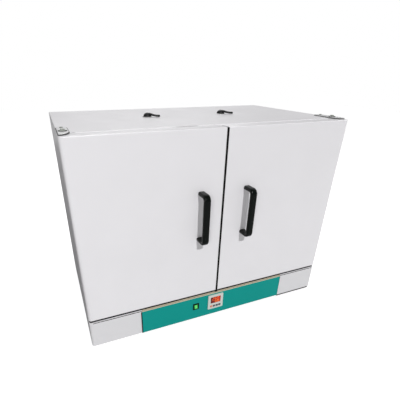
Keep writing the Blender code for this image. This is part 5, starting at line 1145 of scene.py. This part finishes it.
def lamp_green(name):
    """Clear green plastic over a lamp: bright within an upright field, falling to dark green round it.

    The level falls with the larger of the distances across and up, each over half of the field's size.
    """
    material, tree, shader = new_finish(name, specular=0.3)
    shader.inputs["Base Color"].default_value = (0.002, 0.050, 0.010, 1.0)
    parts, sides = place_parts(tree), []
    field = (("X", SWITCH_X - GLOW_ASIDE, GLOW_HALF_WIDTH), ("Z", SWITCH_Z, GLOW_HALF_HEIGHT))
    for axis, place, half in field:
        away = worked(tree, "ABSOLUTE", worked(tree, "SUBTRACT", parts[axis], place))
        sides.append(worked(tree, "DIVIDE", away, half))
    level = spread(tree, worked(tree, "MAXIMUM", *sides), 0.85, 0.01, 0.72, 1.0)
    glow = worked(tree, "MULTIPLY", level, spread(tree, noise(tree, 130.0, 1.0), 0.75, 1.15))
    shader.inputs["Emission Color"].default_value = (0.12, 0.88, 0.17, 1.0)
    tree.links.new(glow, shader.inputs["Emission Strength"])
    glossed(tree, shader, noise(tree, 120.0, 3.0), 0.12, 0.24)
    return material


rocker_green = lamp_green("rocker_green")
piece("switch_key", [skinned(rings)], rocker_green, "rocker", ["switch_rocker"], 50)
across = LINE_HALF_WIDTH * np.array([-1, 1, 1, -1])
up = MARK_FROM_MIDDLE + LINE_HALF_HEIGHT * np.array([-1, -1, 1, 1])
line = skinned([tipped(rocker_face(up) - lift, up, SWITCH_X + across) for lift in (MARK_SUNK, MARK_PROUD)])
rings = []
zero = [(ZERO_OUTER, MARK_SUNK), (ZERO_OUTER, MARK_PROUD), (ZERO_INNER, MARK_PROUD), (ZERO_INNER, MARK_SUNK)]
for radius, lift in zero:
    across, up = radius * np.cos(ring_turn), radius * np.sin(ring_turn) - MARK_FROM_MIDDLE
    rings.append(tipped(rocker_face(up) - lift, up, SWITCH_X + across))
marks = [line, skinned(rings, loop=True)]
piece("switch_marks", marks, mark_white, "rocker")


# Chamber: stainless liner, the fan's baffle at its back with three screw heads down each side, and ladders
# at the sides that carry the shelves.
dress("chamber_liner", stainless, 0.0003)
dress("air_baffle", stainless, 0.0003)
for side_name in SIDES.values():
    dress(f"{side_name}_shelf_rack", stainless, 0.0005)
baffle_low, baffle_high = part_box("air_baffle")
screw_x, screw_z = baffle_high.x - 0.012, np.linspace(baffle_low.z + 0.02, baffle_high.z - 0.02, 3)
places = [(side * screw_x, z) for side in SIDES for z in screw_z]
screws = [screw_head((x, baffle_low.y, z), FORWARDS, 0.004, 0.002) for x, z in places]
piece("baffle_screws", screws, zinc_plated, "cabinet")


# Shelves: bright steel wire, a thick rod bent round the edge, thinner wires from front to back
# welded on it, and a stiffening rod under their middle.
wire_steel = milled("wire_steel", (0.64, 0.64, 0.62), 0.22, 700.0)
SHELF_ROD, SHELF_WIRE, MIDDLE_ROD, SHELF_BEND = 0.0028, 0.0015, 0.0018, 0.014
SHELF_WIRES, WIRES_INSET, WIRE_END_SHARE = 31, 0.022, 0.6
TUBE_ACROSS = (0.0213, 0.0171, 1.0)


def tube(path, radius, steps=12, closed=False):
    """Skin of a round wire along a path."""
    turn = np.linspace(0.0, 2 * np.pi, steps, endpoint=False)
    section = radius * np.stack([np.cos(turn), np.sin(turn)], axis=-1)
    return skinned(swept(path, section, TUBE_ACROSS, closed), loop=closed)


for name in ("lower_shelf", "upper_shelf"):
    low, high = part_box(name)
    edge_low, edge_high = (low.x + SHELF_ROD, low.y + SHELF_ROD), (high.x - SHELF_ROD, high.y - SHELF_ROD)
    edge = raised(rounded(edge_low, edge_high, SHELF_BEND, 10), low.z + SHELF_ROD, "Z")
    wires = [tube(edge, SHELF_ROD, 14, closed=True)]
    wire_z, end = high.z - SHELF_WIRE, SHELF_ROD * WIRE_END_SHARE
    front, back = low.y + end, high.y - end
    for x in np.linspace(low.x + WIRES_INSET, high.x - WIRES_INSET, SHELF_WIRES):
        wires.append(tube(np.linspace((x, front, wire_z), (x, back, wire_z), 3), SHELF_WIRE, 10))
    y, z = middle_of(low, high)[1], low.z + MIDDLE_ROD
    wires.append(tube(np.linspace((low.x + SHELF_ROD, y, z), (high.x - SHELF_ROD, y, z), 3), MIDDLE_ROD, 12))
    piece(f"{name}_wires", wires, wire_steel, "cabinet", [name], 60)


# Fan and heater behind the baffle: a pressed steel wheel on a shaft, and a dark sheathed tube bent in
# a ring round it. The motor sits against the back panel. A steel sensor reaches in under the ceiling.
motor_paint = painted("motor_paint", (0.20, 0.21, 0.22), 0.45)
dress("fan_motor", motor_paint, 0.0008)
dress("fan_impeller", zinc_plated, 0.0)
dress("fan_shaft", zinc_plated, 0.0004)
dress("temperature_probe", stainless, 0.0003)
heater_sheath = milled("heater_sheath", (0.16, 0.135, 0.12), 0.48, 400.0)
heater_low, heater_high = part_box("heater_element")
RING_RADIUS, TUBE_RADIUS, LEG_SPREAD, HEATER_BEND, RING_STEPS = 0.110, 0.004, 0.020, 0.012, 95
ring_y = heater_low.y + TUBE_RADIUS
first = math.asin(LEG_SPREAD / RING_RADIUS)
bend_share = HEATER_BEND / RING_RADIUS
turn = np.linspace(0.0, np.pi / 2, 9)
angles = first + bend_share * (1 - np.cos(turn))
depths = ring_y + HEATER_BEND * (1 - np.sin(turn))
round_angles = np.linspace(first + bend_share, 2 * np.pi - first - bend_share, RING_STEPS + 2)[1:-1]
angles = np.concatenate([[first], angles, round_angles, 2 * np.pi - angles[::-1], [2 * np.pi - first]])
depths = np.concatenate([[heater_high.y], depths, np.full(RING_STEPS, ring_y), depths[::-1], [heater_high.y]])
heater_path = np.stack([-RING_RADIUS * np.sin(angles), depths, FAN_Z - RING_RADIUS * np.cos(angles)], axis=-1)
turn = np.linspace(0.0, 2 * np.pi, 16, endpoint=False)
heater_section = TUBE_RADIUS * np.stack([np.cos(turn), np.sin(turn)], axis=-1)
outward = np.stack([np.sin(angles), np.zeros_like(angles), np.cos(angles)], axis=-1)
heater = skinned(swept(heater_path, heater_section, outward))
piece("heater_tube", [heater], heater_sheath, "cabinet", ["heater_element"], 60)


# Base fittings: the mains inlet at the back, a black plastic socket with three flat pins and two screws,
# and the relay on its finned sink inside.
inlet_black = moulded("inlet_black", (0.012, 0.012, 0.013), 0.45, 700.0, 0.00002, 0.4, 0.15)
inlet_low, inlet_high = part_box("power_inlet")
INLET_X, _, INLET_Z = middle_of(inlet_low, inlet_high)
PIN_PITCH, PIN_WIDTH, PIN_HEIGHT, PIN_FROM_FACE, SOCKET_DEPTH = 0.0084, 0.002, 0.006, 0.0036, 0.0165
INLET_SCREW_X = 0.0205
flange_half = np.array([inlet_high.x - inlet_low.x, inlet_high.z - inlet_low.z]) / 2
body_half, socket_half = np.array([0.016, 0.012]), np.array([0.0135, 0.0095])
face_y, flange_y = inlet_high.y - 0.0007, back_high.y + 0.0003
socket = boxed(np.array([INLET_X, INLET_Z]), [
    (body_half, 0.001, inlet_low.y), (body_half, 0.001, flange_y), (flange_half, 0.003, flange_y),
    (flange_half, 0.003, face_y - 0.0004), (flange_half - 0.0004, 0.003, face_y),
    (socket_half + 0.0005, 0.002, face_y), (socket_half, 0.002, face_y - 0.0006),
    (socket_half, 0.002, face_y - SOCKET_DEPTH),
])
piece("inlet_socket", [socket], inlet_black, "cabinet", ["power_inlet"])
pins = []
for offset in (-PIN_PITCH, 0.0, PIN_PITCH):
    low = (INLET_X + offset - PIN_WIDTH / 2, face_y - SOCKET_DEPTH - 0.0005, INLET_Z - PIN_HEIGHT)
    high = (INLET_X + offset + PIN_WIDTH / 2, face_y - PIN_FROM_FACE, INLET_Z)
    pins.append(plate(low, high, "Y", 0.0004, 0.0003, 0.0005))
places = [(INLET_X + offset, face_y, INLET_Z) for offset in (-INLET_SCREW_X, INLET_SCREW_X)]
screws = [screw_head(place, BACKWARDS, 0.0026, 0.0006) for place in places]
piece("inlet_pins", pins + screws, zinc_plated, "cabinet")
dress("power_relay", plain_aluminium, 0.0003)
